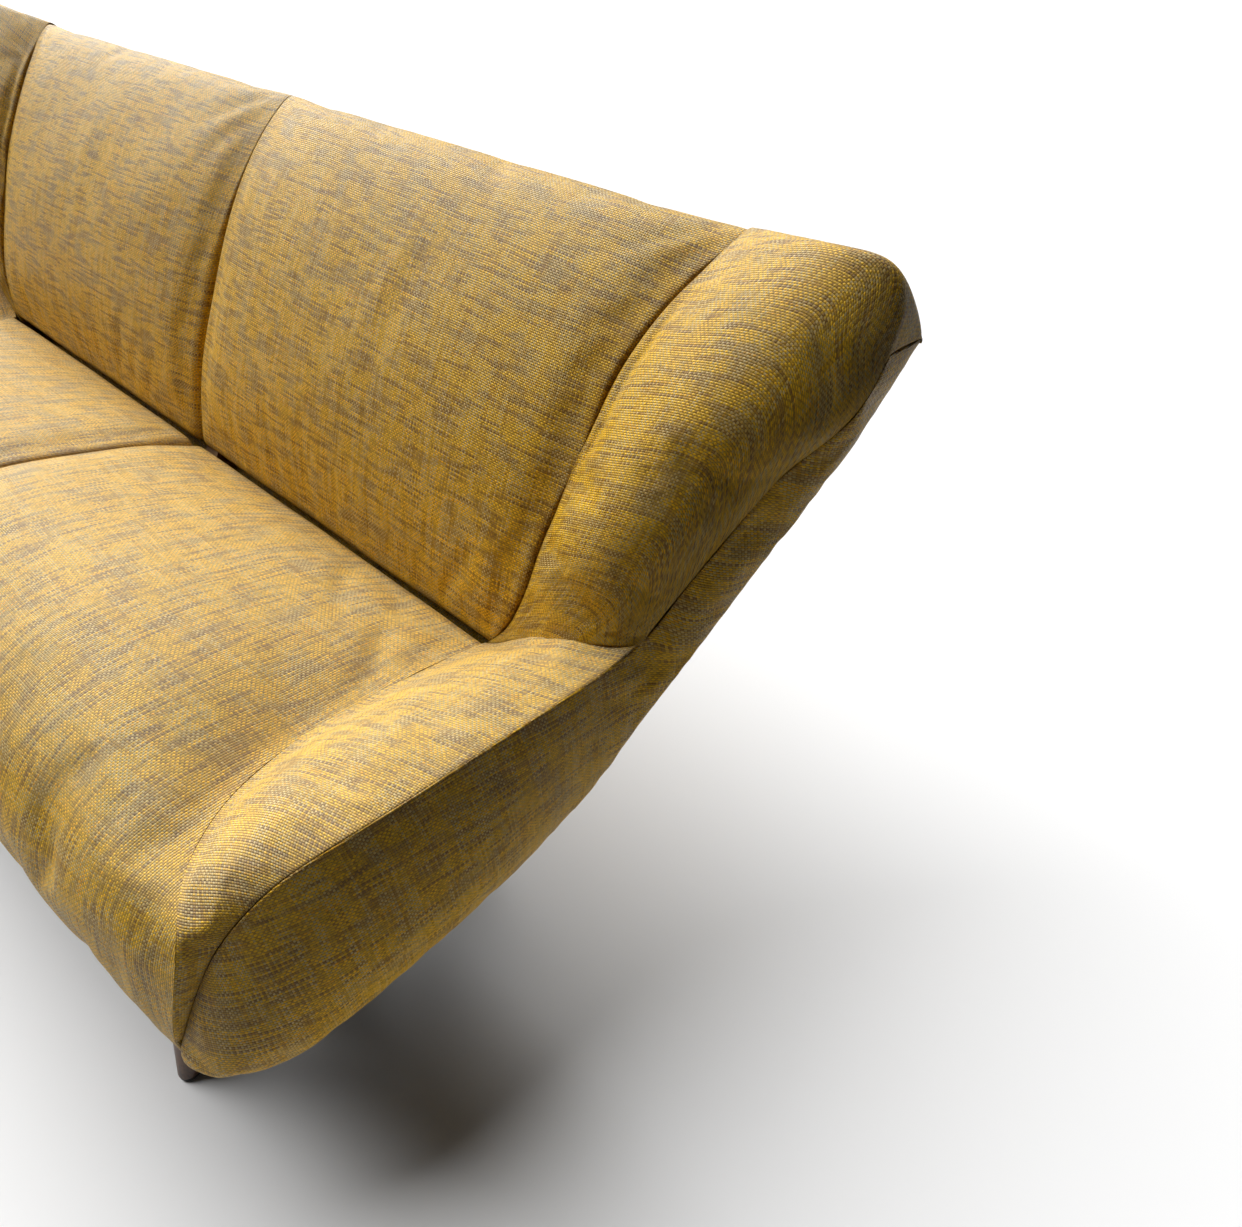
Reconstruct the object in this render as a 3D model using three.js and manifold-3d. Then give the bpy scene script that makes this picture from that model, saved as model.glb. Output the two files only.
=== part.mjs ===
// Two-seat sofa with a leaning winged back and low wrapped arms, on four splayed wooden legs.
// All the upholstery is fixed to a beech frame, so nothing moves.
// Millimetres. +X to the right seen from the front, +Y to the back, +Z up.
// The origin is on the floor in the middle of the sofa.
import * as THREE from "three";
import { mergeVertices } from "three/addons/utils/BufferGeometryUtils.js";
import Module from "manifold-3d";

const wasm = await Module();
wasm.setup();

// ---- Driving dimensions ----

const GAP = 0.5; // clearance between pieces that touch
const SLIT_GAP = 2; // between the back's pad and the wing's
const VALLEY_GAP = 2.5; // between the seat's pad and the arm's
const JOINT_GAP = 0.3; // between boards, plates and bolts

// Levels under the seat, from the floor up.
const GLIDE_THICKNESS = 4;
const COVER_BOTTOM = 206.4;
const COVER_TOP = 208;
const PLATE_BOTTOM = 208.4;
const PLATE_TOP = 211.4;
const PAD_BOTTOM = 208.4; // lowest edge of the upholstery
const FRAME_BOTTOM = 211.8;

// The outside back is a flat plane that starts at BACK_FOOT and leans back by BACK_LEAN mm per mm of rise.
const BACK_FOOT = { y: 60, z: 205 };
const BACK_LEAN = 0.623;
const LEAN_ANGLE = Math.atan(BACK_LEAN);
const LEAN_COS = Math.cos(LEAN_ANGLE);
const LEAN_SIN = Math.sin(LEAN_ANGLE);
const BACK_PANEL = 8; // thickness of the outside back
const PAD_REAR = 38; // depth from the outside back to the rear of the back padding
const REAR_SEAM_Z = 740; // where the inside back's cover meets the outside back
const WING_SEAM_DEPTH = 60; // depth of the wing's outer seam from the outside back
const WING_TIP_X = 965; // outer end of the wing's top
// The wing's round corner: its width, and the share of the height that is lost at the tip.
const WING_CORNER = { reach: 66, drop: 0.45 };
const CREST_Z = 793; // height of the sewn line along the top, where the front face ends
const LEDGE_Z = REAR_SEAM_Z + PAD_REAR * LEAN_SIN; // underside of the padding on the top rail

// Crowns of the padding above the lines of its seams.
const BACK_CROWN = 18;
const WING_CROWN = 12;
const SEAT_CROWN = 14;
const ARM_CROWN = 20;
const WING_BULGE = 10; // extra rise in the middle of the wing's top
const TOP_ROLL = 8; // rise of the rolled top above the sewn line

const SIDE_PANEL = 8; // thickness of the padded outside panels
const SIDE_BOW = 5;
const ARM_PAD_DEPTH = 28;

// Legs: the centre of a right-hand leg at its top and at its foot, and its two radii.
const LEG = { topX: 608, footX: 618, frontTopY: -318, rearTopY: -6, splay: 66, topR: 19, footR: 13.5 };
const BOLT = { radius: 4, down: 30, up: 32 };
const PLATE_HALF = { x: 36, y: 27 };
const CORNER_BLOCK = { half: 40, front: [-324.7, -270], rear: [-50, -0.3], top: 262 };

// The seat's frame: half its length, the y of its rails and how high they stand.
const SEAT_FRAME = {
  half: 673, front: [-342, -325], back: [0, 22], sideWidth: 24, centreHalf: 12,
  frontTop: 313, backTop: 303, centreTop: 285, sideTop: 300,
};
const ARM_RIB = { y: -190, thickness: 18, outline: [[674, 0], [790, 0], [790, 172], [674, 138]] };
const ARM_BOARD = { from: 0.09, to: 0.72, inner: 0.13, outer: 0.88, thickness: 16 };

// Springs and the cloth over them, with their front and back ends as [y, z].
const SPRING = { waves: 7, reach: 24, wire: 1.9, front: [-340, 315.5], back: [14, 305.5] };
const SPRING_PLACES = [-520, -320, -120, 120, 320, 520];
const DECK = { inner: 1, outer: 640, thickness: 2, front: [-328, 318], back: [20, 308] };

// The back's frame: distances up the leaning back and ranges of depth in front of the outside back.
const BACK_FRAME = {
  half: 726, postWidth: 26, centreHalf: 16, postBottom: 4, railBottom: 586,
  railDepths: [10, 36], postDepths: [10, 34], cornerInset: 44, wingHead: [850, 615],
};
const STRAP = {
  half: 724, width: 50, depths: [34.5, 36.5],
  rows: [["low", 290], ["middle", 390], ["high", 490]],
};

const FINISHES = {
  fabric: { color: 0xc09a52, roughness: 0.95, metalness: 0 },
  lining: { color: 0x3a3733, roughness: 0.95, metalness: 0 },
  jute: { color: 0xa8875a, roughness: 0.95, metalness: 0 },
  beech: { color: 0xc9a274, roughness: 0.7, metalness: 0 },
  walnut: { color: 0x2b1a10, roughness: 0.4, metalness: 0 },
  steel: { color: 0x8a8c90, roughness: 0.35, metalness: 1 },
  glide: { color: 0x1c1b1a, roughness: 0.6, metalness: 0 },
};

// ---- Small helpers ----

const point = (x, y, z) => new THREE.Vector3(x, y, z);
const lerp = THREE.MathUtils.lerp;
const sofa = new THREE.Group();

function add(name, geometry, finish, parent = sofa) {
  const mesh = new THREE.Mesh(geometry, new THREE.MeshStandardMaterial(FINISHES[finish]));
  mesh.name = name;
  parent.add(mesh);
  return mesh;
}

// Evenly spaced numbers from 0 to 1, both ends included.
const spread = (count) => Array.from({ length: count }, (_, i) => i / (count - 1));

// Straight-line reading of a table of [input, output] rows.
function readTable(table, input) {
  const last = table.length - 1;
  if (input <= table[0][0]) return table[0][1];
  if (input >= table[last][0]) return table[last][1];
  const i = table.findIndex((row) => row[0] > input);
  const [a, b] = [table[i - 1], table[i]];
  return lerp(a[1], b[1], (input - a[0]) / (b[0] - a[0]));
}

function smoothCurve(rows) {
  return new THREE.CatmullRomCurve3(rows.map((row) => point(...row)), false, "centripetal");
}

function box(low, high) {
  const size = [0, 1, 2].map((i) => high[i] - low[i]);
  const geometry = new THREE.BoxGeometry(...size);
  return geometry.translate((low[0] + high[0]) / 2, (low[1] + high[1]) / 2, (low[2] + high[2]) / 2);
}

function signedVolume(points, faces) {
  return faces.reduce((sum, [a, b, c]) => sum + points[a].dot(points[b].clone().cross(points[c])) / 6, 0);
}

// One section of a padded piece: its outer points, and as many inner points that face them.
const section = (outer, inner) => [...outer, ...inner.slice().reverse()];

// A closed solid through sections, with a strip between outer and inner points closing each end.
function loft(sections) {
  const count = sections[0].length;
  const points = sections.flat();
  const faces = [];
  const addQuad = (a, b, c, d) => faces.push([a, b, c], [a, c, d]);
  for (let s = 0; s + 1 < sections.length; s++) {
    for (let i = 0; i < count; i++) {
      const j = (i + 1) % count;
      addQuad(s * count + i, s * count + j, (s + 1) * count + j, (s + 1) * count + i);
    }
  }
  const last = (sections.length - 1) * count;
  for (let i = 0; i + 1 < count / 2; i++) {
    addQuad(i + 1, i, count - 1 - i, count - 2 - i);
    addQuad(last + i, last + i + 1, last + count - 2 - i, last + count - 1 - i);
  }
  const outward = signedVolume(points, faces) > 0;
  const geometry = new THREE.BufferGeometry();
  geometry.setAttribute("position", new THREE.Float32BufferAttribute(points.flatMap((p) => p.toArray()), 3));
  geometry.setIndex(faces.flatMap(([a, b, c]) => (outward ? [a, b, c] : [a, c, b])));
  return geometry;
}

// The same solid on the other side of the sofa.
function mirrored(geometry) {
  const copy = geometry.clone().scale(-1, 1, 1);
  const index = copy.index.array;
  for (let i = 0; i < index.length; i += 3) [index[i + 1], index[i + 2]] = [index[i + 2], index[i + 1]];
  return copy;
}

function addPair(name, geometry, finish) {
  add(name + "_right", geometry, finish);
  add(name + "_left", mirrored(geometry), finish);
}

function toSolid(geometry) {
  const bare = (geometry.index ? geometry.toNonIndexed() : geometry.clone());
  bare.deleteAttribute("normal");
  bare.deleteAttribute("uv");
  const merged = mergeVertices(bare, 1e-4);
  const vertProperties = new Float32Array(merged.attributes.position.array);
  const triVerts = new Uint32Array(merged.index.array);
  return new wasm.Manifold(new wasm.Mesh({ numProp: 3, vertProperties, triVerts }));
}

function fromSolid(solid) {
  const mesh = solid.getMesh();
  const geometry = new THREE.BufferGeometry();
  geometry.setAttribute("position", new THREE.Float32BufferAttribute(mesh.vertProperties, 3));
  geometry.setIndex(Array.from(mesh.triVerts));
  return geometry;
}

// A solid with others cut out of it.
const cut = (geometry, ...tools) =>
  fromSolid(tools.reduce((solid, tool) => solid.subtract(toSolid(tool)), toSolid(geometry)));

// A straight round bar between two points, tapered if its two radii differ.
function bar(from, to, fromRadius, toRadius, sides) {
  const along = to.clone().sub(from);
  const geometry = new THREE.CylinderGeometry(toRadius, fromRadius, along.length(), sides);
  const turn = new THREE.Quaternion().setFromUnitVectors(point(0, 1, 0), along.clone().normalize());
  const middle = from.clone().add(to).multiplyScalar(0.5);
  return geometry.applyMatrix4(new THREE.Matrix4().compose(middle, turn, point(1, 1, 1)));
}

// ---- Lines that the upholstery is sewn to (right half of the sofa) ----

// The front face of the back at its sewn edges, as [across = y, height = z].
const backFace = new THREE.CubicBezierCurve(
  new THREE.Vector2(98, 372),
  new THREE.Vector2(112, 476),
  new THREE.Vector2(242, 724),
  new THREE.Vector2(380, 793),
);

// The y of that face at a height.
function faceY(z) {
  let [low, high] = [0, 1];
  for (let i = 0; i < 30; i++) {
    const middle = (low + high) / 2;
    if (backFace.getPoint(middle).y < z) low = middle;
    else high = middle;
  }
  return backFace.getPoint(low).x;
}

// The y of a point at a height, a given depth in front of the outside back.
const backY = (z, depth = 0) => BACK_FOOT.y + BACK_LEAN * (z - BACK_FOOT.z) - depth / LEAN_COS;

// Heights against distances from the middle: the slit between back and wing, the wing's outer seam,
// and the rear corner of the sofa.
const SLIT = [[372, 652], [399, 674], [440, 692], [520, 704], [620, 718], [700, 727], [750, 748], [793, 775]];
const WING_SEAM = [[471, 850], [550, 880], [615, 906], [706, 946], [761, 959], [793, 966]];
const REAR_CORNER = [[201, 799], [320, 842], [469, 889], [598, 927], [674, 950], [742, 961]];

// The line where the seat meets the arm, from the back, forward and down the front to the underside.
const valley = smoothCurve([
  [657, 94, 380], [649, 30, 389], [638, -60, 394], [637, -140, 399], [655, -222, 405], [695, -288, 407],
  [735, -324, 396], [747, -345, 360], [743, -366, 300], [737, -376, 250], [733, -374, PAD_BOTTOM],
]);
// The same stations on the line between the two seats.
const seatSplit = smoothCurve([
  [0, 96, 380], [0, 30, 407], [0, -55, 432], [0, -140, 455], [0, -225, 464], [0, -300, 452],
  [0, -352, 420], [0, -380, 370], [0, -388, 310], [0, -386, 250], [0, -376, PAD_BOTTOM],
]);
const ARM_TIP = 0.65; // how far along the valley the arm's pad reaches

// The sewn seam on the arm's outer edge, from the wing forward to the arm's tip.
const ARM_SEAM = [
  [850, 159, 471], [838, 100, 449], [828, 20, 446], [815, -75, 442],
  [798, -185, 436], [781, -252, 420], [767, -300, 385], [757, -326, 348],
];
const armSeam = smoothCurve(ARM_SEAM);

// The lower edge of the outside panel, from the front round the corner and back along the side, as [x, y].
const BASE_EDGE = [
  [748, -373], [762, -366], [778, -354], [793, -336], [804, -312],
  [811, -275], [815, -200], [815, -100], [806, 20],
];

// ---- Upholstery ----

// Fullness of a pad from one sewn edge to the other.
const pillow = (u) => 1 - Math.abs(2 * u - 1) ** 3;

// A section of the back's padding in the plane of y and z: up the given front and over the crest to the
// rear seam, with the inner side in under the crest and down the padding's rear.
function backSection(front, bottomZ) {
  const seam = new THREE.Vector2(backY(REAR_SEAM_Z), REAR_SEAM_Z);
  const crest = front.at(-1);
  const shoulder = new THREE.Vector2(seam.x + 12, crest.y + 2);
  const roll = new THREE.QuadraticBezierCurve(crest, shoulder, seam).getPoints(4).slice(1);
  const ledge = new THREE.Vector2(seam.x - PAD_REAR * LEAN_COS, seam.y + PAD_REAR * LEAN_SIN);
  const rear = spread(front.length).map((t) => {
    const z = lerp(bottomZ, ledge.y - 5, t);
    return new THREE.Vector2(backY(z, PAD_REAR), z);
  });
  const under = [0, 0.25, 0.5, 0.75].map((t) => ledge.clone().lerp(seam, t));
  return section([...front, ...roll], [...rear, ...under]);
}

const BACK_FACE_FOOT = 372;
const BACK_PAD_FOOT = 366;

function backPad() {
  return loft([0, 0.1, 0.28, 0.5, 0.72, 0.9, 1].map((u) => {
    const front = spread(10).map((t) => {
      const z = lerp(BACK_FACE_FOOT, CREST_Z, t);
      const swell = BACK_CROWN * pillow(u) * Math.sin(Math.PI * 0.85 * t) + TOP_ROLL * t ** 4;
      return new THREE.Vector2(faceY(z) - swell * LEAN_COS, z + swell * LEAN_SIN);
    });
    const placeX = (z) => lerp(GAP, readTable(SLIT, z) - GAP, u);
    return backSection(front, BACK_PAD_FOOT).map((p) => point(placeX(p.y), p.x, p.y));
  }));
}

// The wing's top falls away in a round corner towards its outer end.
function roundCorner(x, z) {
  const across = Math.max(0, (x - WING_TIP_X) / WING_CORNER.reach + 1);
  const keep = 1 - WING_CORNER.drop * across ** 2;
  return z > LEDGE_Z ? LEDGE_Z + (z - LEDGE_Z) * keep : z;
}

// The wing's outer edge, which overhangs its side panel above the rear seam.
const wingOuterX = (z) => (z > REAR_SEAM_Z - 1 ? WING_TIP_X : readTable(WING_SEAM, z) - SIDE_PANEL - 1);

// The height of the arm's rear end, where the wing comes down on it, from the valley out to the arm's seam.
const ARM_REAR = { from: [657, 382], to: [850, 475] };

function armRearZ(x) {
  const { from, to } = ARM_REAR;
  const across = THREE.MathUtils.clamp((x - from[0]) / (to[0] - from[0]), 0, 1);
  return lerp(from[1], to[1], across) + ARM_CROWN * Math.sin(Math.PI * across);
}

function wingPad() {
  return loft([0, 0.12, 0.3, 0.5, 0.7, 0.88, 1].map((u) => {
    const placeX = (z) => lerp(readTable(SLIT, z) + SLIT_GAP, wingOuterX(z), u);
    const bottomZ = [1, 2, 3, 4].reduce((z) => armRearZ(placeX(z)) + 3, 430);
    const front = spread(10).map((t) => {
      const z = lerp(bottomZ, CREST_Z, t);
      const sewnDepth = (backY(z) - faceY(z)) * LEAN_COS;
      const depth = lerp(sewnDepth, WING_SEAM_DEPTH, u ** 2.2) + WING_CROWN * Math.sin(Math.PI * u);
      const rise = (TOP_ROLL + WING_BULGE * Math.sin(Math.PI * u)) * t ** 4;
      return new THREE.Vector2(backY(z, depth), z + rise);
    });
    return backSection(front, bottomZ).map((p) => point(placeX(p.y), p.x, roundCorner(placeX(p.y), p.y)));
  }));
}

// Height of the seat padding's inner side along the valley: over the springs, then down behind the front.
const SEAT_INNER_Z = [[0, 316], [0.54, 323], [0.66, 323], [0.72, 316], [1, PAD_BOTTOM]];
const SEAT_INNER_FRONT = -352;
const SEAT_INNER_REAR = 80;

function seatPad() {
  const acrosses = [0, 0.08, 0.25, 0.5, 0.72, 0.86, 0.95, 1];
  return loft(spread(21).map((w) => {
    const [split, edge] = [seatSplit.getPoint(w), valley.getPoint(w)];
    const placeX = (u) => lerp(GAP, edge.x - GAP, u);
    const outer = acrosses.map((u) => {
      const crown = SEAT_CROWN * pillow(u) * Math.sin(Math.PI * Math.min(1, w * 1.15));
      const forward = w > 0.6 ? 0.3 * crown : 0;
      const up = w < 0.7 ? crown : 0;
      return point(placeX(u), lerp(split.y, edge.y, u ** 5) - forward, lerp(split.z, edge.z, u ** 5) + up);
    });
    const inner = acrosses.map((u) => {
      const back = w > 0.6 ? 12 * u ** 10 : 0;
      const y = THREE.MathUtils.clamp(edge.y, SEAT_INNER_FRONT, SEAT_INNER_REAR) + back;
      return point(placeX(u), y, readTable(SEAT_INNER_Z, w));
    });
    return section(outer, inner);
  }));
}

// A strip that follows the arm. Its outer and inner sides at a station are given as [share, height]:
// the share of the way from the valley to the outer seam, and the height above the line between them.
function alongArm(stations, sides) {
  return loft(stations.map((v) => {
    const from = valley.getPoint(v * ARM_TIP).add(point(VALLEY_GAP, 0, 0));
    const to = armSeam.getPoint(v).sub(point(SIDE_PANEL + 2 * GAP, 0, 0));
    const place = ([share, height]) => from.clone().lerp(to, share).add(point(0, 0, height));
    const [outer, inner] = sides(v);
    return section(outer.map(place), inner.map(place));
  }));
}

function armPad() {
  const shares = spread(7);
  const stations = spread(14).slice(0, -1); // the last one would be a sliver
  return alongArm(stations, (v) => {
    const crown = ARM_CROWN * Math.min(1, (1.04 - v) * 5);
    const depth = ARM_PAD_DEPTH * Math.min(1, (1.15 - v) * 4);
    return [shares.map((u) => [u, crown * Math.sin(Math.PI * u)]), shares.map((u) => [u, -depth])];
  });
}

function armBoard() {
  const stations = spread(9).map((t) => lerp(ARM_BOARD.from, ARM_BOARD.to, t));
  const edges = [ARM_BOARD.inner, ARM_BOARD.outer];
  const top = -ARM_PAD_DEPTH - 2 * GAP;
  const bottom = top - ARM_BOARD.thickness;
  return alongArm(stations, () => [edges.map((u) => [u, top]), edges.map((u) => [u, bottom])]);
}

// The outside panel: from the front of the arm round the corner, along the side and up the wing.
function sidePanel() {
  const wingSeam = [520, 580, 640, 690, 722].map((z) =>
    [readTable(WING_SEAM, z), backY(z, WING_SEAM_DEPTH), z]);
  const front = [0.97, 0.86, 0.76].map((w) => valley.getPoint(w).add(point(3, 0, 0)).toArray());
  const topEdge = [...front, ...ARM_SEAM.slice().reverse(), ...wingSeam];
  const cornerEdge = [300, 375, 445, 520, 590, 655, 722].map((z) =>
    [readTable(REAR_CORNER, z), backY(z, BACK_PANEL + 2 * GAP), z]);
  const bottomEdge = [...BASE_EDGE.map(([x, y]) => [x, y, PAD_BOTTOM]), ...cornerEdge];
  const inward = (y) => {
    const turn = THREE.MathUtils.smoothstep(y, -372, -300);
    return point(-turn, 1 - turn, 0).normalize().multiplyScalar(SIDE_PANEL);
  };
  return loft(topEdge.map((row, i) => {
    const top = point(...row);
    const bottom = point(...bottomEdge[i]);
    const outside = spread(5).map((t) => {
      const bow = SIDE_BOW * Math.sin(Math.PI * t);
      return top.clone().lerp(bottom, t).addScaledVector(inward(lerp(top.y, bottom.y, t)), -bow / SIDE_PANEL);
    });
    return section(outside, outside.map((p) => p.clone().add(inward(p.y))));
  }));
}

// A flat outline with holes, raised from one level to another.
function slab(outline, bottom, top, holes = []) {
  const shape = new THREE.Shape(outline.map(([x, y]) => new THREE.Vector2(x, y)));
  holes.forEach(([x, y, r]) => shape.holes.push(new THREE.Path().absarc(x, y, r, 0, 2 * Math.PI)));
  const settings = { depth: top - bottom, bevelEnabled: false, curveSegments: 10 };
  return new THREE.ExtrudeGeometry(shape, settings).translate(0, 0, bottom);
}

// An outline on both sides of the middle, from its right-hand half.
const bothSides = (half) => [...half, ...half.slice().reverse().map(([x, y]) => [-x, y])];

function addUpholstery() {
  addPair("seat_pad", seatPad(), "fabric");
  addPair("back_pad", backPad(), "fabric");
  addPair("wing_pad", wingPad(), "fabric");
  addPair("arm_pad", armPad(), "fabric");
  addPair("outside_side", sidePanel(), "fabric");
}

// ---- Legs ----

const LEG_PLACES = [["front", LEG.frontTopY, -1], ["rear", LEG.rearTopY, 1]].flatMap(([row, y, away]) =>
  [["left", -1], ["right", 1]].map(([side, sign]) => ({
    name: row + "_" + side,
    top: point(sign * LEG.topX, y, PLATE_BOTTOM - JOINT_GAP),
    foot: point(sign * LEG.footX, y + away * LEG.splay, 0),
  })));

// The hole or the bolt on a leg's axis, from inside the leg up into the block above it.
function boltBar(place, radius) {
  const up = place.top.clone().sub(place.foot).normalize();
  const from = place.top.clone().addScaledVector(up, -BOLT.down);
  const to = place.top.clone().addScaledVector(up, BOLT.up);
  return bar(from, to, radius, radius, 12);
}

// A box around a vertical line, between two heights.
function boxAround(centre, halfX, halfY, bottom, top) {
  return box([centre.x - halfX, centre.y - halfY, bottom], [centre.x + halfX, centre.y + halfY, top]);
}

// A leg runs past both its ends and is trimmed level, with a hole up its axis for the bolt.
function addLeg(place) {
  const { name, top, foot } = place;
  const axis = top.clone().sub(foot).normalize();
  const spare = 20;
  const trim = 60;
  const under = foot.clone().addScaledVector(axis, -spare);
  const over = top.clone().addScaledVector(axis, spare);
  const aboveTop = boxAround(top, trim, trim, top.z, top.z + trim);
  const belowFoot = boxAround(foot, trim, trim, -trim, GLIDE_THICKNESS + JOINT_GAP);
  const turned = bar(under, over, LEG.footR, LEG.topR, 24);
  add("leg_" + name, cut(turned, aboveTop, belowFoot, boltBar(place, BOLT.radius + JOINT_GAP)), "walnut");
}

function addLegFixing(place) {
  const { name, top } = place;
  const hole = () => boltBar(place, BOLT.radius + JOINT_GAP);
  const plate = boxAround(top, PLATE_HALF.x, PLATE_HALF.y, PLATE_BOTTOM, PLATE_TOP);
  add("leg_plate_" + name, cut(plate, hole()), "steel");
  add("leg_bolt_" + name, boltBar(place, BOLT.radius), "steel");
  const [low, high] = name.startsWith("front") ? CORNER_BLOCK.front : CORNER_BLOCK.rear;
  const { half } = CORNER_BLOCK;
  const block = box([top.x - half, low, FRAME_BOTTOM], [top.x + half, high, CORNER_BLOCK.top]);
  add("corner_block_" + name, cut(block, hole()), "beech");
}

// The glide sits under the foot, centred on the leg's axis.
function addGlide(place) {
  const { name, top, foot } = place;
  const middle = GLIDE_THICKNESS / 2;
  const centre = foot.clone().lerp(top, middle / top.z);
  const glide = new THREE.CylinderGeometry(LEG.footR - 0.5, LEG.footR - 1.5, GLIDE_THICKNESS, 24);
  add("glide_" + name, glide.rotateX(Math.PI / 2).translate(centre.x, centre.y, middle), "glide");
}

// ---- Frame ----

function addSeatFrame() {
  const { half, front, back, sideWidth, centreHalf } = SEAT_FRAME;
  const [inFront, inBack] = [front[1] + JOINT_GAP, back[0] - JOINT_GAP];
  add("front_rail", box([-half, front[0], FRAME_BOTTOM], [half, front[1], SEAT_FRAME.frontTop]), "beech");
  add("back_rail", box([-half, back[0], FRAME_BOTTOM], [half, back[1], SEAT_FRAME.backTop]), "beech");
  const centre = box([-centreHalf, inFront, FRAME_BOTTOM], [centreHalf, inBack, SEAT_FRAME.centreTop]);
  add("centre_rail", centre, "beech");
  const side = box([half - sideWidth, inFront, FRAME_BOTTOM], [half, inBack, SEAT_FRAME.sideTop]);
  addPair("side_rail", side, "beech");
  addPair("arm_board", armBoard(), "beech");
  const outline = new THREE.Shape(ARM_RIB.outline.map(([x, z]) => new THREE.Vector2(x, z)));
  const rib = new THREE.ExtrudeGeometry(outline, { depth: ARM_RIB.thickness, bevelEnabled: false });
  addPair("arm_rib", mergeVertices(rib.rotateX(Math.PI / 2).translate(0, ARM_RIB.y, FRAME_BOTTOM)), "beech");
}

// A wavy steel spring from the front rail to the back rail.
function zigzagSpring(x) {
  const { waves, reach, wire, front, back } = SPRING;
  const points = spread(4 * waves + 1).map((t, i) => {
    const side = [0, 1, 0, -1][i % 4];
    return point(x + reach * side, lerp(front[0], back[0], t), lerp(front[1], back[1], t));
  });
  const ring = new THREE.Shape().absarc(0, 0, wire, 0, 2 * Math.PI);
  const extrudePath = new THREE.CatmullRomCurve3(points);
  return new THREE.ExtrudeGeometry(ring, { steps: 64, curveSegments: 3, extrudePath, bevelEnabled: false });
}

// A section of the cloth over the springs, along the seat's depth.
function deckSection(x) {
  const under = [DECK.front, DECK.back].map(([y, z]) => point(x, y, z));
  const over = under.map((p) => p.clone().add(point(0, 0, DECK.thickness)));
  return section(over, under);
}

function addSeatSuspension() {
  SPRING_PLACES.forEach((x, i) => add("seat_spring_" + (i + 1), zigzagSpring(x), "steel"));
  addPair("seat_deck", loft([deckSection(DECK.inner), deckSection(DECK.outer)]), "jute");
}

// Pieces of the back frame are placed in a group whose +Z runs up the outside back and whose -Y points forward.
const backGroup = new THREE.Group();
backGroup.position.set(0, BACK_FOOT.y, BACK_FOOT.z);
backGroup.rotation.x = -LEAN_ANGLE;
const alongLean = (z) => (z - BACK_FOOT.z) / LEAN_COS;

// A board in the back group, from an outline in [x, distance up the back] and a range of depths.
function leaningBoard(outline, [depthFrom, depthTo]) {
  const shape = new THREE.Shape(outline.map(([x, s]) => new THREE.Vector2(x, s)));
  const board = new THREE.ExtrudeGeometry(shape, { depth: depthTo - depthFrom, bevelEnabled: false });
  return mergeVertices(board.rotateX(Math.PI / 2).translate(0, -depthFrom, 0));
}

const strip = (left, right, low, high) => [[left, low], [right, low], [right, high], [left, high]];

function addBackFrame() {
  const { half, postWidth, centreHalf, postBottom, railBottom, railDepths, postDepths } = BACK_FRAME;
  const railTop = alongLean(REAR_SEAM_Z) - 2 * GAP;
  add("top_rail", leaningBoard(strip(-half, half, railBottom, railTop), railDepths), "beech", backGroup);
  const post = (left, right) => leaningBoard(strip(left, right, postBottom, railBottom - GAP), postDepths);
  add("back_post_centre", post(-centreHalf, centreHalf), "beech", backGroup);
  add("back_post_right", post(half - postWidth, half), "beech", backGroup);
  add("back_post_left", post(-half, postWidth - half), "beech", backGroup);
  STRAP.rows.forEach(([name, low]) => {
    const outline = strip(-STRAP.half, STRAP.half, low, low + STRAP.width);
    add("back_strap_" + name, leaningBoard(outline, STRAP.depths), "jute", backGroup);
  });
}

function addWingFrames() {
  const { half, cornerInset, wingHead, postDepths } = BACK_FRAME;
  const heights = [215, 320, 469, 598, 674];
  const inner = half + 2 * GAP;
  const outer = heights.map((z) => [readTable(REAR_CORNER, z) - cornerInset, alongLean(z)]);
  const outline = [[inner, alongLean(heights[0])], ...outer, wingHead, [inner, wingHead[1]]];
  const wing = leaningBoard(outline, postDepths);
  add("wing_frame_right", wing, "beech", backGroup);
  add("wing_frame_left", mirrored(wing), "beech", backGroup);
}

function addOutsideBack() {
  const heights = [209, 320, 469, 598, 674, REAR_SEAM_Z - 2 * GAP];
  const edge = heights.map((z) => [readTable(REAR_CORNER, z), alongLean(z)]);
  add("outside_back", leaningBoard(bothSides(edge), [0, BACK_PANEL]), "fabric", backGroup);
}

function addDustCover() {
  const half = [
    [720, -350], [752, -350], [776, -340], [792, -318], [802, -280], [806, -180], [806, -60], [800, 44],
  ];
  const holes = LEG_PLACES.map(({ top }) => [top.x, top.y, LEG.topR + 5]);
  add("dust_cover", slab(bothSides(half), COVER_BOTTOM, COVER_TOP, holes), "lining");
}

addUpholstery();
LEG_PLACES.forEach(addLeg);
LEG_PLACES.forEach(addLegFixing);
LEG_PLACES.forEach(addGlide);
addSeatFrame();
addSeatSuspension();
addBackFrame();
addWingFrames();
addOutsideBack();
addDustCover();
sofa.add(backGroup);

export default sofa;
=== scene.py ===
import math

import bpy
import numpy as np
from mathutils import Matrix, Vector
from mathutils.geometry import delaunay_2d_cdt
from numpy.linalg import norm


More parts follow.
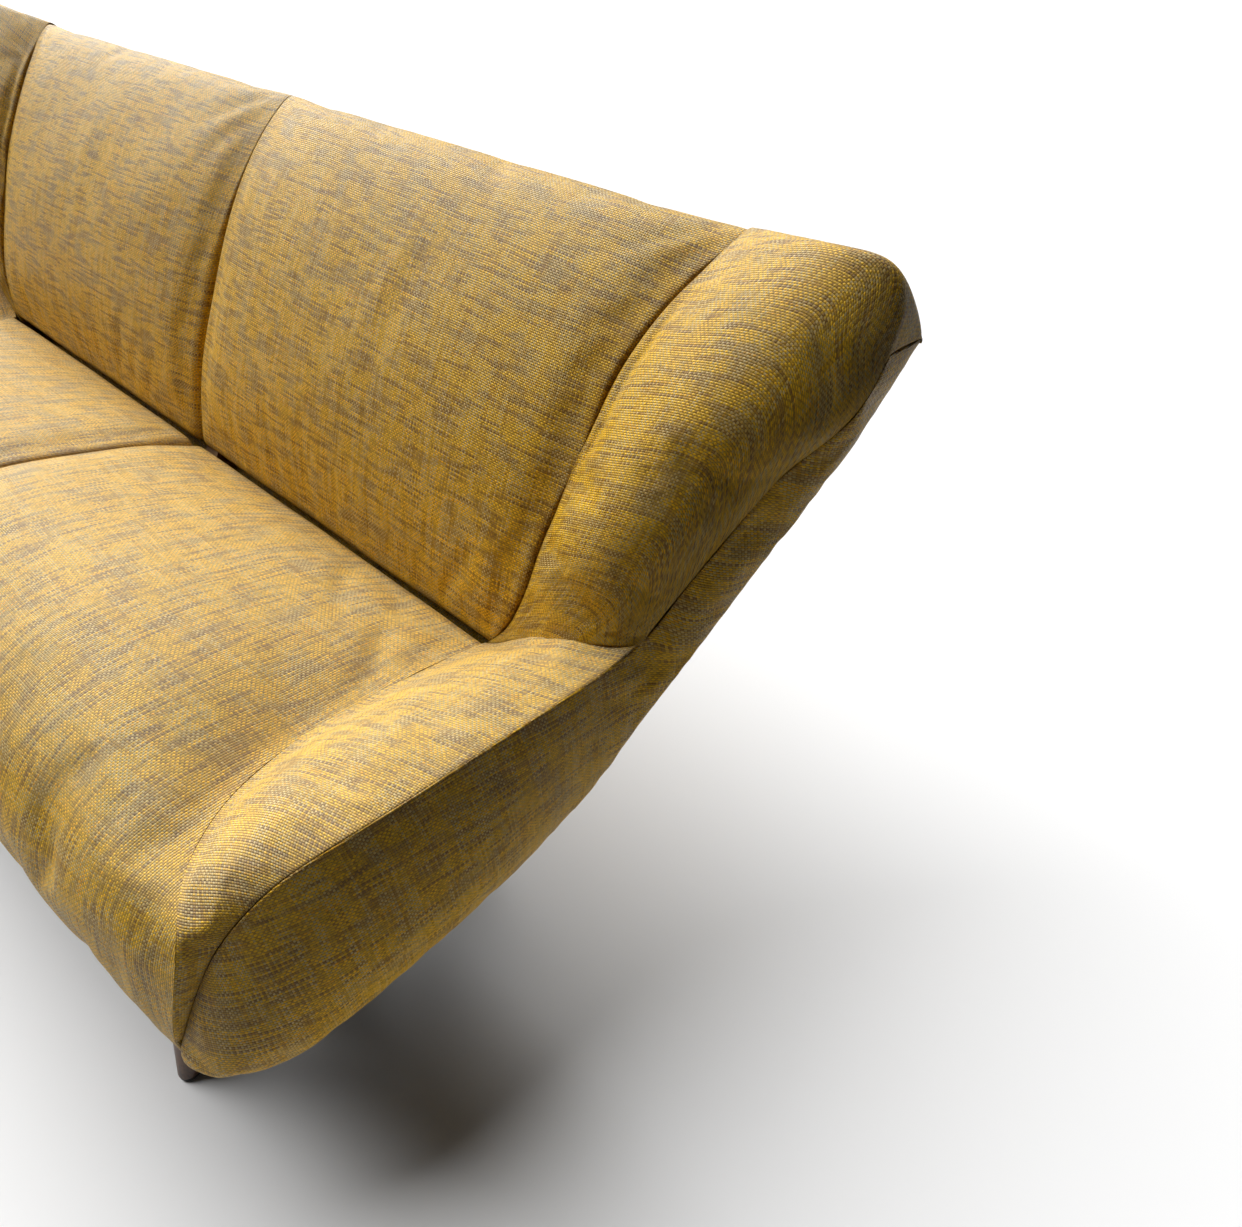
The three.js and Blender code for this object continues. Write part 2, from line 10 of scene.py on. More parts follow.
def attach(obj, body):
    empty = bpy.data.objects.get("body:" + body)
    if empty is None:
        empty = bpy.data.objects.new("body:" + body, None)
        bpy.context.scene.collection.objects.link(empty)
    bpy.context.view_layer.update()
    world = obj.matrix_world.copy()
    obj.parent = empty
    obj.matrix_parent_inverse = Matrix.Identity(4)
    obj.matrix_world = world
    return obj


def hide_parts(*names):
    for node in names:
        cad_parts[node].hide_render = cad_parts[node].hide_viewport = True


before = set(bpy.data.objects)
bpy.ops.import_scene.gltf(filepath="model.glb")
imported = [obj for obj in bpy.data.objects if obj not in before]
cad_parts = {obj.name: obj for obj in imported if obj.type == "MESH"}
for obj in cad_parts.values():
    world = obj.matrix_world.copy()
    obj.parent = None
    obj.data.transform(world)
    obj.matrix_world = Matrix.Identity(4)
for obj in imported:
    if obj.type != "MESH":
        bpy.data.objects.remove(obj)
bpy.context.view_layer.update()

# ---- Driving dimensions, in metres, in the frame of the CAD ----

MM = 0.001
GAP = 0.0005

# The outside back is a plane that starts at BACK_FOOT and leans back.
BACK_FOOT_Y, BACK_FOOT_Z = 0.060, 0.205
BACK_LEAN = 0.623
LEAN_ANGLE = math.atan(BACK_LEAN)
LEAN_COS, LEAN_SIN = math.cos(LEAN_ANGLE), math.sin(LEAN_ANGLE)
REAR_SEAM_Z = 0.740
CREST_Z = 0.793
FACE_FOOT_Z = 0.372
WING_SEAM_DEPTH = 0.060
BASE_Z = 0.2086

BACK_CROWN = 0.018
WING_CROWN = 0.034
SEAT_CROWN = 0.014
ARM_CROWN = 0.020
TOP_ROLL = 0.008  # how much the top of the back rises over its frame

PLAY = 0.3 * GAP  # half the play between two covers that press on each other
SLIT_PLAY, SLIT_GAPE = 0.0002, 0.0007  # half the play along the slit, and what its open mouths add
CREST_SLIT_X = 0.775  # where the slit crosses the crest
SLIT_SPREAD = 0.006  # how far the slit moves out on its way to the rear seam
VALLEY_SOFTNESS = 0.022  # how widely two covers that meet in a valley are rounded

# Lines that the covers are sewn to, on the right half, in millimetres.
FACE_CURVE = [(98, 372), (112, 476), (242, 724), (380, 793)]
SLIT = [(372, 652), (399, 674), (440, 692), (520, 704), (620, 718), (700, 727), (750, 748), (793, 775)]
WING_SEAM = [(471, 850), (550, 880), (615, 906), (706, 946), (761, 959), (793, 966)]
REAR_CORNER = [(201, 799), (320, 842), (469, 889), (598, 927), (674, 950), (742, 963)]
VALLEY = [
    (657, 94, 380), (649, 30, 389), (638, -60, 394), (637, -140, 399), (655, -222, 405), (695, -288, 407),
    (735, -324, 396), (747, -345, 360), (743, -366, 300), (737, -376, 250), (733, -374, 208.6),
]
SEAT_SPLIT = [
    (0, 96, 380), (0, 30, 407), (0, -55, 432), (0, -140, 455), (0, -225, 464), (0, -300, 452),
    (0, -352, 420), (0, -380, 370), (0, -388, 310), (0, -386, 250), (0, -376, 208.6),
]
ARM_SEAM = [
    (850, 159, 471), (838, 100, 449), (828, 20, 446), (815, -75, 442),
    (798, -185, 436), (781, -252, 420), (767, -300, 385), (757, -328, 346), (749, -350, 303),
    (742, -369, 262),
]
ARM_TIP = 0.88  # the share of the valley that the arm's top follows
BASE_EDGE = [
    (748, -373), (762, -366), (778, -354), (793, -336), (804, -312),
    (811, -275), (815, -200), (815, -100), (806, 20),
]


# ---- Curves ----


class Spline:
    """A smooth curve through points given in millimetres, read with t from 0 to 1."""

    def __init__(self, rows):
        p = np.array(rows, float) * MM
        n = len(p)
        system, right = np.eye(n), np.zeros_like(p)
        for i in range(1, n - 1):
            system[i, i - 1 : i + 2] = 1, 4, 1
            right[i] = 6 * (p[i - 1] - 2 * p[i] + p[i + 1])
        self.p, self.bend = p, np.linalg.solve(system, right)

    def __call__(self, t):
        s = np.clip(np.asarray(t, float), 0, 1) * (len(self.p) - 1)
        i = np.minimum(s.astype(int), len(self.p) - 2)
        b = (s - i)[..., None]
        a = 1 - b
        straight = a * self.p[i] + b * self.p[i + 1]
        return straight + ((a**3 - a) * self.bend[i] + (b**3 - b) * self.bend[i + 1]) / 6


def smooth_table(rows):
    """A smooth reading of a table of (input, output) rows in millimetres."""
    at, out = np.array(rows, float).T * MM
    slope = np.gradient(out, at)

    def read(z):
        z = np.asarray(z, float)
        i = np.clip(np.searchsorted(at, z) - 1, 0, len(at) - 2)
        h = at[i + 1] - at[i]
        t = np.clip((z - at[i]) / h, 0, 1)
        a, b = (1 - t) ** 2, t**2
        from_below = a * ((1 + 2 * t) * out[i] + t * h * slope[i])
        from_above = b * ((3 - 2 * t) * out[i + 1] - (1 - t) * h * slope[i + 1])
        return from_below + from_above

    return read


def bezier(points, t):
    """A cubic curve through the first and last of four points."""
    a, b, c, d = (np.asarray(p, float) for p in points)
    t = np.asarray(t, float)[..., None]
    return (1 - t) ** 3 * a + 3 * (1 - t) ** 2 * t * b + 3 * (1 - t) * t**2 * c + t**3 * d


def lerp(a, b, t):
    return a + (b - a) * t


def smoothstep(x, low, high):
    t = np.clip((x - low) / (high - low), 0, 1)
    return t * t * (3 - 2 * t)


def bump(x, centre, half):
    """1 at the centre, falling smoothly to nothing at half a width on each side."""
    t = np.clip(np.abs(x - centre) / half, 0, 1)
    return (1 - t * t) ** 2


def lean_y(z, depth=0.0):
    """The outside back's y at a height, or that of a plane at a depth in front of it."""
    return BACK_FOOT_Y + BACK_LEAN * (z - BACK_FOOT_Z) - depth / LEAN_COS


slit_x = smooth_table(SLIT)
wing_seam_x = smooth_table(WING_SEAM)
corner_x = smooth_table(REAR_CORNER)
valley, seat_split, arm_seam = Spline(VALLEY), Spline(SEAT_SPLIT), Spline(ARM_SEAM)

face_steps = np.linspace(0, 1, 200)
face_line = bezier(np.array(FACE_CURVE) * MM, face_steps)
face_tangent = np.gradient(face_line, axis=0)
face_tangent /= norm(face_tangent, axis=1)[:, None]
face_normal = np.stack([-face_tangent[:, 1], face_tangent[:, 0]], 1)


def face_y(z):
    """The inside back's y at a height, before it is padded."""
    return np.interp(z, face_line[:, 1], face_line[:, 0])


def pillow(u):
    """1 in the middle of a pad and 0 at its two sides."""
    return 1 - np.abs(2 * u - 1) ** 3


RIPPLE_WAVES, RIPPLE_SUM = 9, 3.4  # waves in a random field, and what their sum seldom passes


def ripple(x, y, size, seed):
    """A smooth random field between about -1 and 1 with features of a given size."""
    r = np.random.default_rng(seed)
    total = np.zeros(np.broadcast(x, y).shape)
    for _ in range(RIPPLE_WAVES):
        turn, phase = r.uniform(0, 2 * math.pi, 2)
        wave = 2 * math.pi / (size * r.uniform(0.7, 1.7))
        total = total + np.sin(wave * (x * math.cos(turn) + y * math.sin(turn)) + phase)
    return total / RIPPLE_SUM


# ---- Covers: a fine surface, its edges rolled in, closed by its own inner side ----

JITTER = 0.00002  # a random move of each point
# A quarter turn, as inset and drop in shares of its radius, and the rows of the wall below it.
ROLL = [(1 - math.cos(a), 1 - math.sin(a)) for a in np.radians([0, 22.5, 45, 67.5, 90])]
WALL = [1.0, 0.66, 0.33]
MOST_ROLL = 0.3  # the most of a row that one rolled end may take
MOST_DROP = 0.8  # the most of a cover's thickness that an edge may drop
PIN_FADE = 3.0  # rows over which the pins of an edge let go
SHEEN_TILT = (0.50, 0.97)  # upward part of the normal over which a painted sheen pales the cloth, in place of the light's highlight on it
MIRROR_SHIFT = [0.37, 0.21]  # moves the cloth of the left half, so that it isn't the right half's twin


class Edge:
    """How an edge turns in: the radius of its roll, then a wall that slants under the cover.
    A marked edge shows a seam."""

    def __init__(self, radius, wall=0.016, slant=0.0, marked=True):
        self.radius = radius if callable(radius) else (lambda x, y, z: radius + 0 * z)
        self.wall, self.slant, self.marked = wall, slant, marked

    def rows(self, ends, limit):
        r = np.minimum(self.radius(*ends[:, :3].T), limit)
        inset = [self.slant * self.wall * w + 0 * r for w in WALL] + [r * i for i, _ in ROLL]
        drop = [r + self.wall * w for w in WALL] + [r * d for _, d in ROLL]
        return np.array(inset), np.array(drop)

    def inner(self, thickness):
        return 0.001 + max(self.slant, 0.05) * thickness


def free(radius, wall=0.016):
    return Edge(radius, wall, 0.0)


def sewn(radius=0.0025, wall=0.007):
    return Edge(radius, wall, 1.25)


def joined(radius=0.0003):
    """An edge that runs on into the next cover, with no seam to see."""
    return Edge(radius, 0.006, 0.3, marked=False)


def arc(points):
    """The distance along a row of points, at each of them."""
    steps = norm(np.diff(points[:, :3], axis=0), axis=1)
    return np.concatenate([[0], np.cumsum(steps)])


def place_rows(rows, start, end, spacing):
    """Each row read again at places along its length: rolled ends and an even middle.
    Returns the new rows, and how far each of their points drops below the surface."""
    lengths = np.array([arc(r)[-1] for r in rows])
    limit = lengths * MOST_ROLL
    (a_in, a_drop), (b_in, b_drop) = start.rows(rows[:, 0], limit), end.rows(rows[:, -1], limit)
    count = max(4, int(math.ceil(lengths.max() / spacing)))
    shares = np.linspace(0, 1, count + 1)[1:-1]
    result, drops = [], []
    for i, row in enumerate(rows):
        middle = lerp(a_in[-1, i], lengths[i] - b_in[-1, i], shares)
        at = np.concatenate([a_in[:, i], middle, lengths[i] - b_in[::-1, i]])
        at = np.clip(at, 0, lengths[i])
        s = arc(row)
        result.append(np.stack([np.interp(at, s, row[:, k]) for k in range(row.shape[1])], 1))
        drops.append(np.concatenate([a_drop[:, i], 0 * shares, b_drop[::-1, i]]))
    return np.array(result), np.array(drops)


def normals_of(grid, flip):
    """The normal at each point. Where the grid pinches to a point, it comes from the points around."""
    across, up = np.gradient(grid, axis=1), np.gradient(grid, axis=0)
    n = np.cross(across, up)
    length = norm(n, axis=2)
    weak = length < 1e-12
    n[weak] = 0
    n /= np.where(weak, 1, length)[..., None]
    for _ in range(40):
        if not weak.any():
            break
        near = sum(np.roll(n, s, axis=a) for a in (0, 1) for s in (1, -1))
        size = norm(near, axis=2)
        found = weak & (size > 1e-6)
        n[found] = near[found] / size[found][:, None]
        weak &= ~found
    return -n if flip else n


class Cover:
    """One piece of upholstery. surface is a fine grid of points [up][across][xyz]."""

    def __init__(self, name, surface, left, right, low, high, spacing=0.012, thickness=0.03,
                 flip=False, uv="low", turned=False):
        self.name, self.thickness = name, thickness
        surface = np.asarray(surface, float)
        fine = np.concatenate([surface, normals_of(surface, flip)], 2)
        n_wall = len(WALL) + len(ROLL)
        rows, drop_u = place_rows(fine, left, right, spacing)
        rows = np.concatenate([rows, drop_u[..., None]], 2)
        columns, drop_v = place_rows(rows.transpose(1, 0, 2), low, high, spacing)
        grid, drop_v = columns.transpose(1, 0, 2), drop_v.T
        drop = np.minimum(grid[..., 6] + drop_v, thickness * MOST_DROP)
        normal = grid[..., 3:6] / np.maximum(norm(grid[..., 3:6], axis=2), 1e-9)[..., None]
        self.outer = grid[..., :3] - normal * drop[..., None]
        self.normal = normal
        self.shape = self.outer.shape[:2]
        self.inner = self.inner_side(fine, left, right, low, high)
        self.pinned = self.pin_weights(n_wall)
        self.uv = uv(self.outer) if callable(uv) else self.lay_uv(n_wall, uv)
        if turned:
            self.uv = self.uv[..., ::-1]
        self.seam = self.seam_distance(n_wall, (left, right, low, high))

    def inner_side(self, fine, left, right, low, high):
        """The cover's underside: the same surface, drawn in at its edges and one thickness down."""
        up, across = self.shape

        def shrink(rows, start, end, count):
            out = []
            for row in rows:
                s = arc(row)
                a = min(start.inner(self.thickness), s[-1] * MOST_ROLL)
                b = min(end.inner(self.thickness), s[-1] * MOST_ROLL)
                at = np.linspace(a, s[-1] - b, count)
                out.append(np.stack([np.interp(at, s, row[:, k]) for k in range(row.shape[1])], 1))
            return np.array(out)

        rows = shrink(fine, left, right, across)
        grid = shrink(rows.transpose(1, 0, 2), low, high, up).transpose(1, 0, 2)
        return grid[..., :3] - grid[..., 3:6] * self.thickness

    def pin_weights(self, n_wall):
        """1 on the edges, which stay put while the cloth swells, down to 0 in the middle."""
        up, across = self.shape
        i = np.minimum(np.arange(up), np.arange(up)[::-1])[:, None]
        j = np.minimum(np.arange(across), np.arange(across)[::-1])[None]
        inside = np.minimum(i, j) - (n_wall - 1)
        return np.clip(1 - inside / PIN_FADE, 0, 1)

    def lay_uv(self, n_wall, kind):
        """Distances over the cloth, in metres: across from the left edge, and up from the low or high edge,
        or up along the left edge alone."""
        across = norm(np.diff(self.outer, axis=1), axis=2)
        u = np.concatenate([np.zeros((self.shape[0], 1)), np.cumsum(across, 1)], 1)
        u -= u[:, n_wall - 1 : n_wall]
        up = norm(np.diff(self.outer, axis=0), axis=2)
        v = np.concatenate([np.zeros((1, self.shape[1])), np.cumsum(up, 0)], 0)
        v -= v[-n_wall] if kind == "high" else v[n_wall - 1]
        if kind == "left":
            v = v[:, n_wall - 1 : n_wall] + 0 * v
        return np.stack([u, v], 2)

    def seam_distance(self, n_wall, edges):
        """How far each point is from the nearest edge that shows a seam."""
        u, v = np.moveaxis(self.lay_uv(n_wall, "low"), 2, 0)
        ends = [u, u[:, -n_wall][:, None] - u, v - v[n_wall - 1][None], v[-n_wall][None] - v]
        return np.maximum(np.min([end for end, edge in zip(ends, edges) if edge.marked], axis=0), 0)

    def closed_faces(self):
        """The outer side, the inner side and the band that joins them, as rows of four points."""
        up, across = self.shape
        count = up * across
        index = np.arange(count).reshape(up, across)
        a, b, c, d = index[:-1, :-1], index[:-1, 1:], index[1:, 1:], index[1:, :-1]
        outer = np.stack([a, b, c, d], -1).reshape(-1, 4)
        rim = np.concatenate([index[0, :], index[1:, -1], index[-1, -2::-1], index[-2:0:-1, 0]])
        after = np.roll(rim, -1)
        band = np.stack([after, rim, rim + count, after + count], -1)
        return np.concatenate([outer, outer[:, ::-1] + count, band])

    def mesh(self, mirror):
        """The closed mesh, with its UV map in metres, its distance from the seams and its share of painted
        sheen.
        mirror is True for the left half, False for the right half and None for a cover with no twin."""
        co = np.concatenate([self.outer.reshape(-1, 3), self.inner.reshape(-1, 3)])
        faces = self.closed_faces()
        if volume(co, faces) < 0:
            faces = faces[:, ::-1]
        # The cloth solver stops at an edge with no length, so no two points may coincide.
        co += np.random.default_rng(7).uniform(-JITTER, JITTER, co.shape)
        uv = np.concatenate([self.uv.reshape(-1, 2)] * 2)
        if mirror:
            co = co * [-1, 1, 1]
            faces = faces[:, ::-1]
            uv = uv * [-1, 1] - MIRROR_SHIFT
        name = self.name + {True: "_left", False: "_right", None: ""}[mirror]
        obj = make_mesh(name, co, faces)
        layer = obj.data.uv_layers.new(name="weave")
        loops = np.zeros(len(obj.data.loops), int)
        obj.data.loops.foreach_get("vertex_index", loops)
        layer.data.foreach_set("uv", uv[loops].astype(np.float32).ravel())
        # painted sheen: how far each point is paled, by how much its normal points up
        sheen_share = smoothstep(self.normal[..., 2], *SHEEN_TILT)
        for kind, values in (("seam", self.seam), ("fade", sheen_share)):
            attribute = obj.data.attributes.new(kind, "FLOAT", "POINT")
            attribute.data.foreach_set("value", np.concatenate([values.ravel()] * 2).astype(np.float32))
        pins = np.concatenate([self.pinned.ravel(), np.ones(self.pinned.size)])
        return obj, pins


def volume(co, faces):
    """The volume inside a closed mesh of four-sided faces, below 0 where they face inwards."""
    a, b, c, d = (co[faces[:, k]] for k in range(4))
    return float((np.cross(b, c) * a).sum() + (np.cross(c, d) * a).sum()) / 6


def make_mesh(name, co, faces):
    """A smooth-shaded object from points and faces, where faces is an array or a list of lists."""
    mesh = bpy.data.meshes.new(name)
    faces = faces if isinstance(faces, list) else faces.tolist()
    mesh.from_pydata(np.asarray(co).tolist(), [], faces)
    mesh.polygons.foreach_set("use_smooth", [True] * len(mesh.polygons))
    mesh.update()
    obj = bpy.data.objects.new(name, mesh)
    bpy.context.scene.collection.objects.link(obj)
    return obj


# ---- The shapes of the covers (right half) ----

FINE = 90  # points across a fine surface, before its rows are read again
ROLL_START, ROLL_END = 0.016, 0.034  # how far the roll over the top runs on before it turns


def roll_over(end, direction):
    """From the top of a front face over to the rear seam, as y and z."""
    seam = np.array([lean_y(REAR_SEAM_Z), REAR_SEAM_Z])
    points = [end, end + ROLL_START * direction, seam + ROLL_END * np.array([LEAN_SIN, LEAN_COS]), seam]
    return bezier(points, np.linspace(0, 1, 30)[1:])


def back_surface():
    columns = []
    for u in np.linspace(0, 1, FINE):
        rise = (face_line[:, 1] - FACE_FOOT_Z) / (CREST_Z - FACE_FOOT_Z)
        swell = BACK_CROWN * pillow(u) * np.sin(0.85 * math.pi * rise) + TOP_ROLL * rise**4
        front = face_line + face_normal * swell[:, None]
        turn = front[-1] - front[-4]
        over = roll_over(front[-1], turn / norm(turn))
        share = np.linspace(0, 1, len(over) + 1)[1:]
        edge = np.concatenate([slit_x(face_line[:, 1]), CREST_SLIT_X + SLIT_SPREAD * share])
        line = np.concatenate([front, over])
        gape = SLIT_PLAY + SLIT_GAPE * np.where(np.arange(len(edge)) < len(front), slit_open(line[:, 1]), 0)
        x = lerp(GAP, edge - gape, u)
        columns.append(np.stack([x, line[:, 0], line[:, 1]], 1))
    grid = np.array(columns).transpose(1, 0, 2)
    x, z = grid[..., 0], grid[..., 2]
    soft = 0.0011 * ripple(x, z, 0.16, 11)
    lean = 0.25 * (z - 0.6)  # a shallow crease slants down the pad, with a dip beside it
    soft += 0.0022 * bump(x, 0.36 + lean, 0.022) * bump(z, 0.68, 0.10)
    soft -= 0.0016 * bump(x, 0.40 + lean, 0.018) * bump(z, 0.66, 0.12)
    grid[..., 1] -= soft * LEAN_COS
    grid[..., 2] += soft * LEAN_SIN
    return grid


WING_TIP_X = 0.9655
CORNER_START_X, CORNER_FOOT_Z = 0.906, 0.744
CORNER_POWER = 3.5
TUCK_TOP_Z, TUCK_REAR_Z = 0.7515, 0.7450  # the side panel's end, which meets the wing's tip
PLEAT_LOW, PLEAT_HIGH = 0.575, 0.785  # where the pleat beside the slit starts and ends
PLEAT_AWAY, PLEAT_WIDTH = 0.019, 0.009  # its distance from the slit, and half its width


def wing_edge_x(z):
    """The wing's outer edge, which flares a little towards its tip."""
    return lerp(wing_seam_x(z) - 0.0006, WING_TIP_X, smoothstep(z, 0.640, CORNER_FOOT_Z))


def round_corner(x, y, z):
    """The wing's top falls away in a round corner towards its outer end, along the back's lean."""
    inside = np.clip((x - CORNER_START_X) / (WING_TIP_X - CORNER_START_X), 0, 0.9995)
    keep = (1 - inside**CORNER_POWER) ** (1 / CORNER_POWER)
    fall = np.where(z > CORNER_FOOT_Z, (z - CORNER_FOOT_Z) * (1 - keep), 0)
    return np.stack([x, y - BACK_LEAN * fall, z - fall], 1)


def arm_rear_z(x):
    """The height of the arm's rear end, where the wing's foot rests on it."""
    low_x, high_x = VALLEY[0][0] * MM, ARM_SEAM[0][0] * MM
    across = np.clip((x - low_x) / (high_x - low_x), 0, 1)
    return lerp(0.381, 0.472, across) + 1.05 * ARM_CROWN * np.sin(math.pi * across) ** 0.9


def wing_surface():
    columns = []
    for t in np.linspace(0, 1, FINE):
        u = 1 - (1 - t) ** 1.6

        def place(z):
            return lerp(slit_x(z) + SLIT_PLAY + SLIT_GAPE * slit_open(z), wing_edge_x(z), u)

        bottom = 0.43
        for _ in range(5):
            bottom = float(arm_rear_z(place(bottom))) - 0.010
        z = np.linspace(bottom, CREST_Z, 110)
        rise = (z - bottom) / (CREST_Z - bottom)
        sewn_depth = (lean_y(z) - face_y(z)) * LEAN_COS
        depth = lerp(sewn_depth, WING_SEAM_DEPTH, 1 - (1 - u**3) ** 0.55)
        crown = WING_CROWN * math.sin(math.pi * u**1.15) ** 0.85
        depth += crown * lerp(0.25, 1, smoothstep(rise, 0, 0.45))
        lift = (TOP_ROLL + 0.010 * math.sin(math.pi * u) + 0.020 * u) * (1 - u**16) * rise**4
        front = np.stack([lean_y(z, depth), z + lift], 1)
        turn = front[-1] - front[-4]
        over = roll_over(front[-1], turn / norm(turn))
        share = np.linspace(0, 1, len(over) + 1)[1:]
        x = np.concatenate([place(z), place(CREST_Z) + SLIT_SPREAD * (1 - u) * share])
        line = np.concatenate([front, over])
        columns.append(round_corner(x, line[:, 0], line[:, 1]))
    grid = np.array(columns).transpose(1, 0, 2)
    x, z = grid[..., 0], grid[..., 2]
    past = x - slit_x(z)
    along = np.clip((z - PLEAT_LOW) / (PLEAT_HIGH - PLEAT_LOW), 0, 1)
    pleat = PLEAT_AWAY * np.sin(math.pi * along) ** 0.8
    fold = 0.0050 * bump(past, pleat, PLEAT_WIDTH) * np.sin(math.pi * along) ** 0.5
    fold -= 0.0040 * bump(past, 0.45 * pleat, PLEAT_WIDTH) * np.sin(math.pi * along) ** 0.5
    fold += 0.0008 * ripple(x, z, 0.10, 21)
    grid[..., 1] += fold * LEAN_COS
    grid[..., 2] -= fold * LEAN_SIN
    return grid


def filleted(distance, reach, width):
    """A distance that starts off slowly, so that two slopes meet in a soft valley."""
    soft = np.sqrt(distance**2 + width**2) - width
    return soft * reach / (math.sqrt(reach**2 + width**2) - width)


def seat_surface():
    """From the back, over the front crest and down to the base, in rows from the split to the valley."""
    rows = []
    u = np.linspace(0, 1, FINE)
    for w in np.linspace(0, 1, 150):
        split, edge = seat_split(w), valley(w)
        x = lerp(GAP, edge[0] + PLAY, u)
        reach = edge[0]
        width = VALLEY_SOFTNESS * float(1 - smoothstep(w, 0.60, 0.72)) + 0.001
        s = 1 - filleted(reach * (1 - u), reach, width) / reach
        crown = SEAT_CROWN * pillow(s) * math.sin(math.pi * min(1, w * 1.15))
        top = float(1 - smoothstep(w, 0.55, 0.72))
        y = lerp(split[1], edge[1], s**5) - 0.45 * crown * (1 - top)
        z = lerp(split[2], edge[2], s**5) + crown * top
        rows.append(np.stack([x, y, z], 1))
    grid = np.array(rows)
    x, y = grid[..., 0], grid[..., 1]
    grid[..., 2] += 0.0009 * ripple(x, y, 0.17, 31) * smoothstep(grid[..., 2], 0.3, 0.4)
    return grid[::-1]


def arm_surface():
    """A strip from the wing's foot to the front corner, between the valley and the arm's seam."""
    rows = []
    u = np.linspace(0, 1, FINE)
    for v in np.linspace(0, 1, 130):
        start, end = valley(v * ARM_TIP) - [PLAY, 0, 0], arm_seam(v) - [GAP, 0, 0]
        reach = norm(end - start)
        crown = ARM_CROWN * min(1, (reach / 0.15) ** 0.9)
        s = filleted(reach * u, reach, VALLEY_SOFTNESS * (1 - 0.9 * v**6)) / reach
        line = start + (end - start) * s[:, None]
        nose = float(smoothstep(v, 0.70, 1.0))
        line += crown * (np.sin(math.pi * s**0.94))[:, None] * [0.4 * nose, -0.7 * nose, 1 - 0.6 * nose]
        line[:, :2] += (u - s)[:, None] * (end - start)[:2]
        rows.append(line)
    grid = np.array(rows)
    grid[..., 2] += 0.0006 * ripple(grid[..., 0], grid[..., 1], 0.09, 41)
    return grid


def side_stations():
    """The points of the side panel's top and bottom lines, from its front edge round to the wing's tip."""
    heights = (0.520, 0.580, 0.640, 0.690, 0.716, 0.730, 0.739)
    wing = [(float(wing_edge_x(z)) + 0.0006, lean_y(z, WING_SEAM_DEPTH), z) for z in heights]
    front = [valley(w) + [0.001, 0, 0] for w in (0.985, 0.93)]
    tuck_top = (WING_TIP_X, lean_y(TUCK_TOP_Z, 0.058), TUCK_TOP_Z)
    tuck_rear = (WING_TIP_X, lean_y(TUCK_REAR_Z, 0.001), TUCK_REAR_Z)
    top = np.array([*front, *(np.array(ARM_SEAM[::-1]) * MM), *wing, tuck_top]) / MM
    heights = (0.300, 0.375, 0.445, 0.520, 0.590, 0.655, 0.710, 0.734)
    corner = [(float(corner_x(z)), lean_y(z, 0.0005), z) for z in heights]
    start = [(0.7365, -0.3775, BASE_Z), (0.7415, -0.3757, BASE_Z)]
    base = [(x * MM, y * MM, BASE_Z) for x, y in BASE_EDGE]
    bottom = np.array([*start, *base, *corner, tuck_rear]) / MM
    return top, bottom


SIDE_BOW, SIDE_SAG = 0.013, 0.004  # how far the side panel bows out, in the middle and low down
BASE_BULGE = 0.009  # how far the panel stands out past the base's edge
BASE_ROLL, BASE_TUCK = 0.040, 0.020  # how high the panel starts to turn under, and how far


def side_surface():
    top_points, bottom_points = side_stations()
    top_line, bottom_line = Spline(top_points), Spline(bottom_points)
    columns = []
    t = np.linspace(0, 1, 110)
    for s in np.linspace(0, 1, 200):
        top, bottom = top_line(s), bottom_line(s)
        turn = float(smoothstep(lerp(top[1], bottom[1], 0.5), -0.372, -0.300))
        out = np.array([turn, turn - 1, 0])
        out /= norm(out)
        on_base = float(1 - smoothstep(bottom[2], 0.22, 0.34))
        below = bottom + out * BASE_BULGE * on_base
        height = norm(top - below)
        bow = SIDE_BOW * np.sin(math.pi * t) ** 0.8 + SIDE_SAG * np.sin(math.pi * t**2.2)
        line = top + (below - top) * t[:, None]
        line += out * (bow * min(1, height / 0.2) * (1 - s**12))[:, None]
        under = np.clip((t - (1 - BASE_ROLL / height)) / (BASE_ROLL / height), 0, 1)
        line -= out * (BASE_TUCK * on_base * (1 - np.sqrt(1 - np.minimum(under, 0.999) ** 2)))[:, None]
        columns.append(line)
    grid = np.array(columns).transpose(1, 0, 2)
    return grid[::-1]


def outside_back_surface():
    """The leaning panel behind the sofa, stretched from corner to corner."""
    rows = []
    u = np.linspace(-1, 1, 2 * FINE)
    for t in np.linspace(0, 1, 80):
        z = lerp(0.2075, REAR_SEAM_Z - 0.0012, t)
        half = float(corner_x(z)) - 0.0006
        bulge = 0.005 * (1 - u**6) * math.sin(math.pi * t) ** 0.7
        bulge = bulge + 0.0008 * ripple(u, t + 0 * u, 0.35, 51)
        rows.append(np.stack([half * u, lean_y(z) + bulge * LEAN_COS, z - bulge * LEAN_SIN], 1))
    return np.array(rows)


def cleft_radius(x, y, z):
    """Roll at the cleft between the two back pads, which closes towards the top."""
    return 0.0012 + 0.0160 * (1 - smoothstep(z, 0.56, 0.76))


def slit_open(z):
    """How far the slit between back and wing gapes, from 0 to 1: in two long mouths, pinched shut
    between them and at both ends."""
    upper = smoothstep(z, 0.612, 0.660) * (1 - smoothstep(z, 0.762, 0.786))
    lower = smoothstep(z, 0.385, 0.42) * (1 - smoothstep(z, 0.545, 0.590))
    return upper + lower


def slit_radius(x, y, z):
    return 0.0004 + 0.0050 * slit_open(z)


def split_radius(x, y, z):
    return 0.009 + 0.012 * smoothstep(y, 0.0, 0.09)


def seat_arm_radius(x, y, z):
    return 0.0003 + 0.0045 * (1 - smoothstep(z, 0.22, 0.29))


def nose_radius(x, y, z):
    return 0.0006 + 0.0015 * smoothstep(y, -0.34, -0.25) * (1 - smoothstep(z, 0.46, 0.50))


def arm_rear_radius(x, y, z):
    return 0.0008 + 0.0035 * smoothstep(x, 0.74, 0.84)


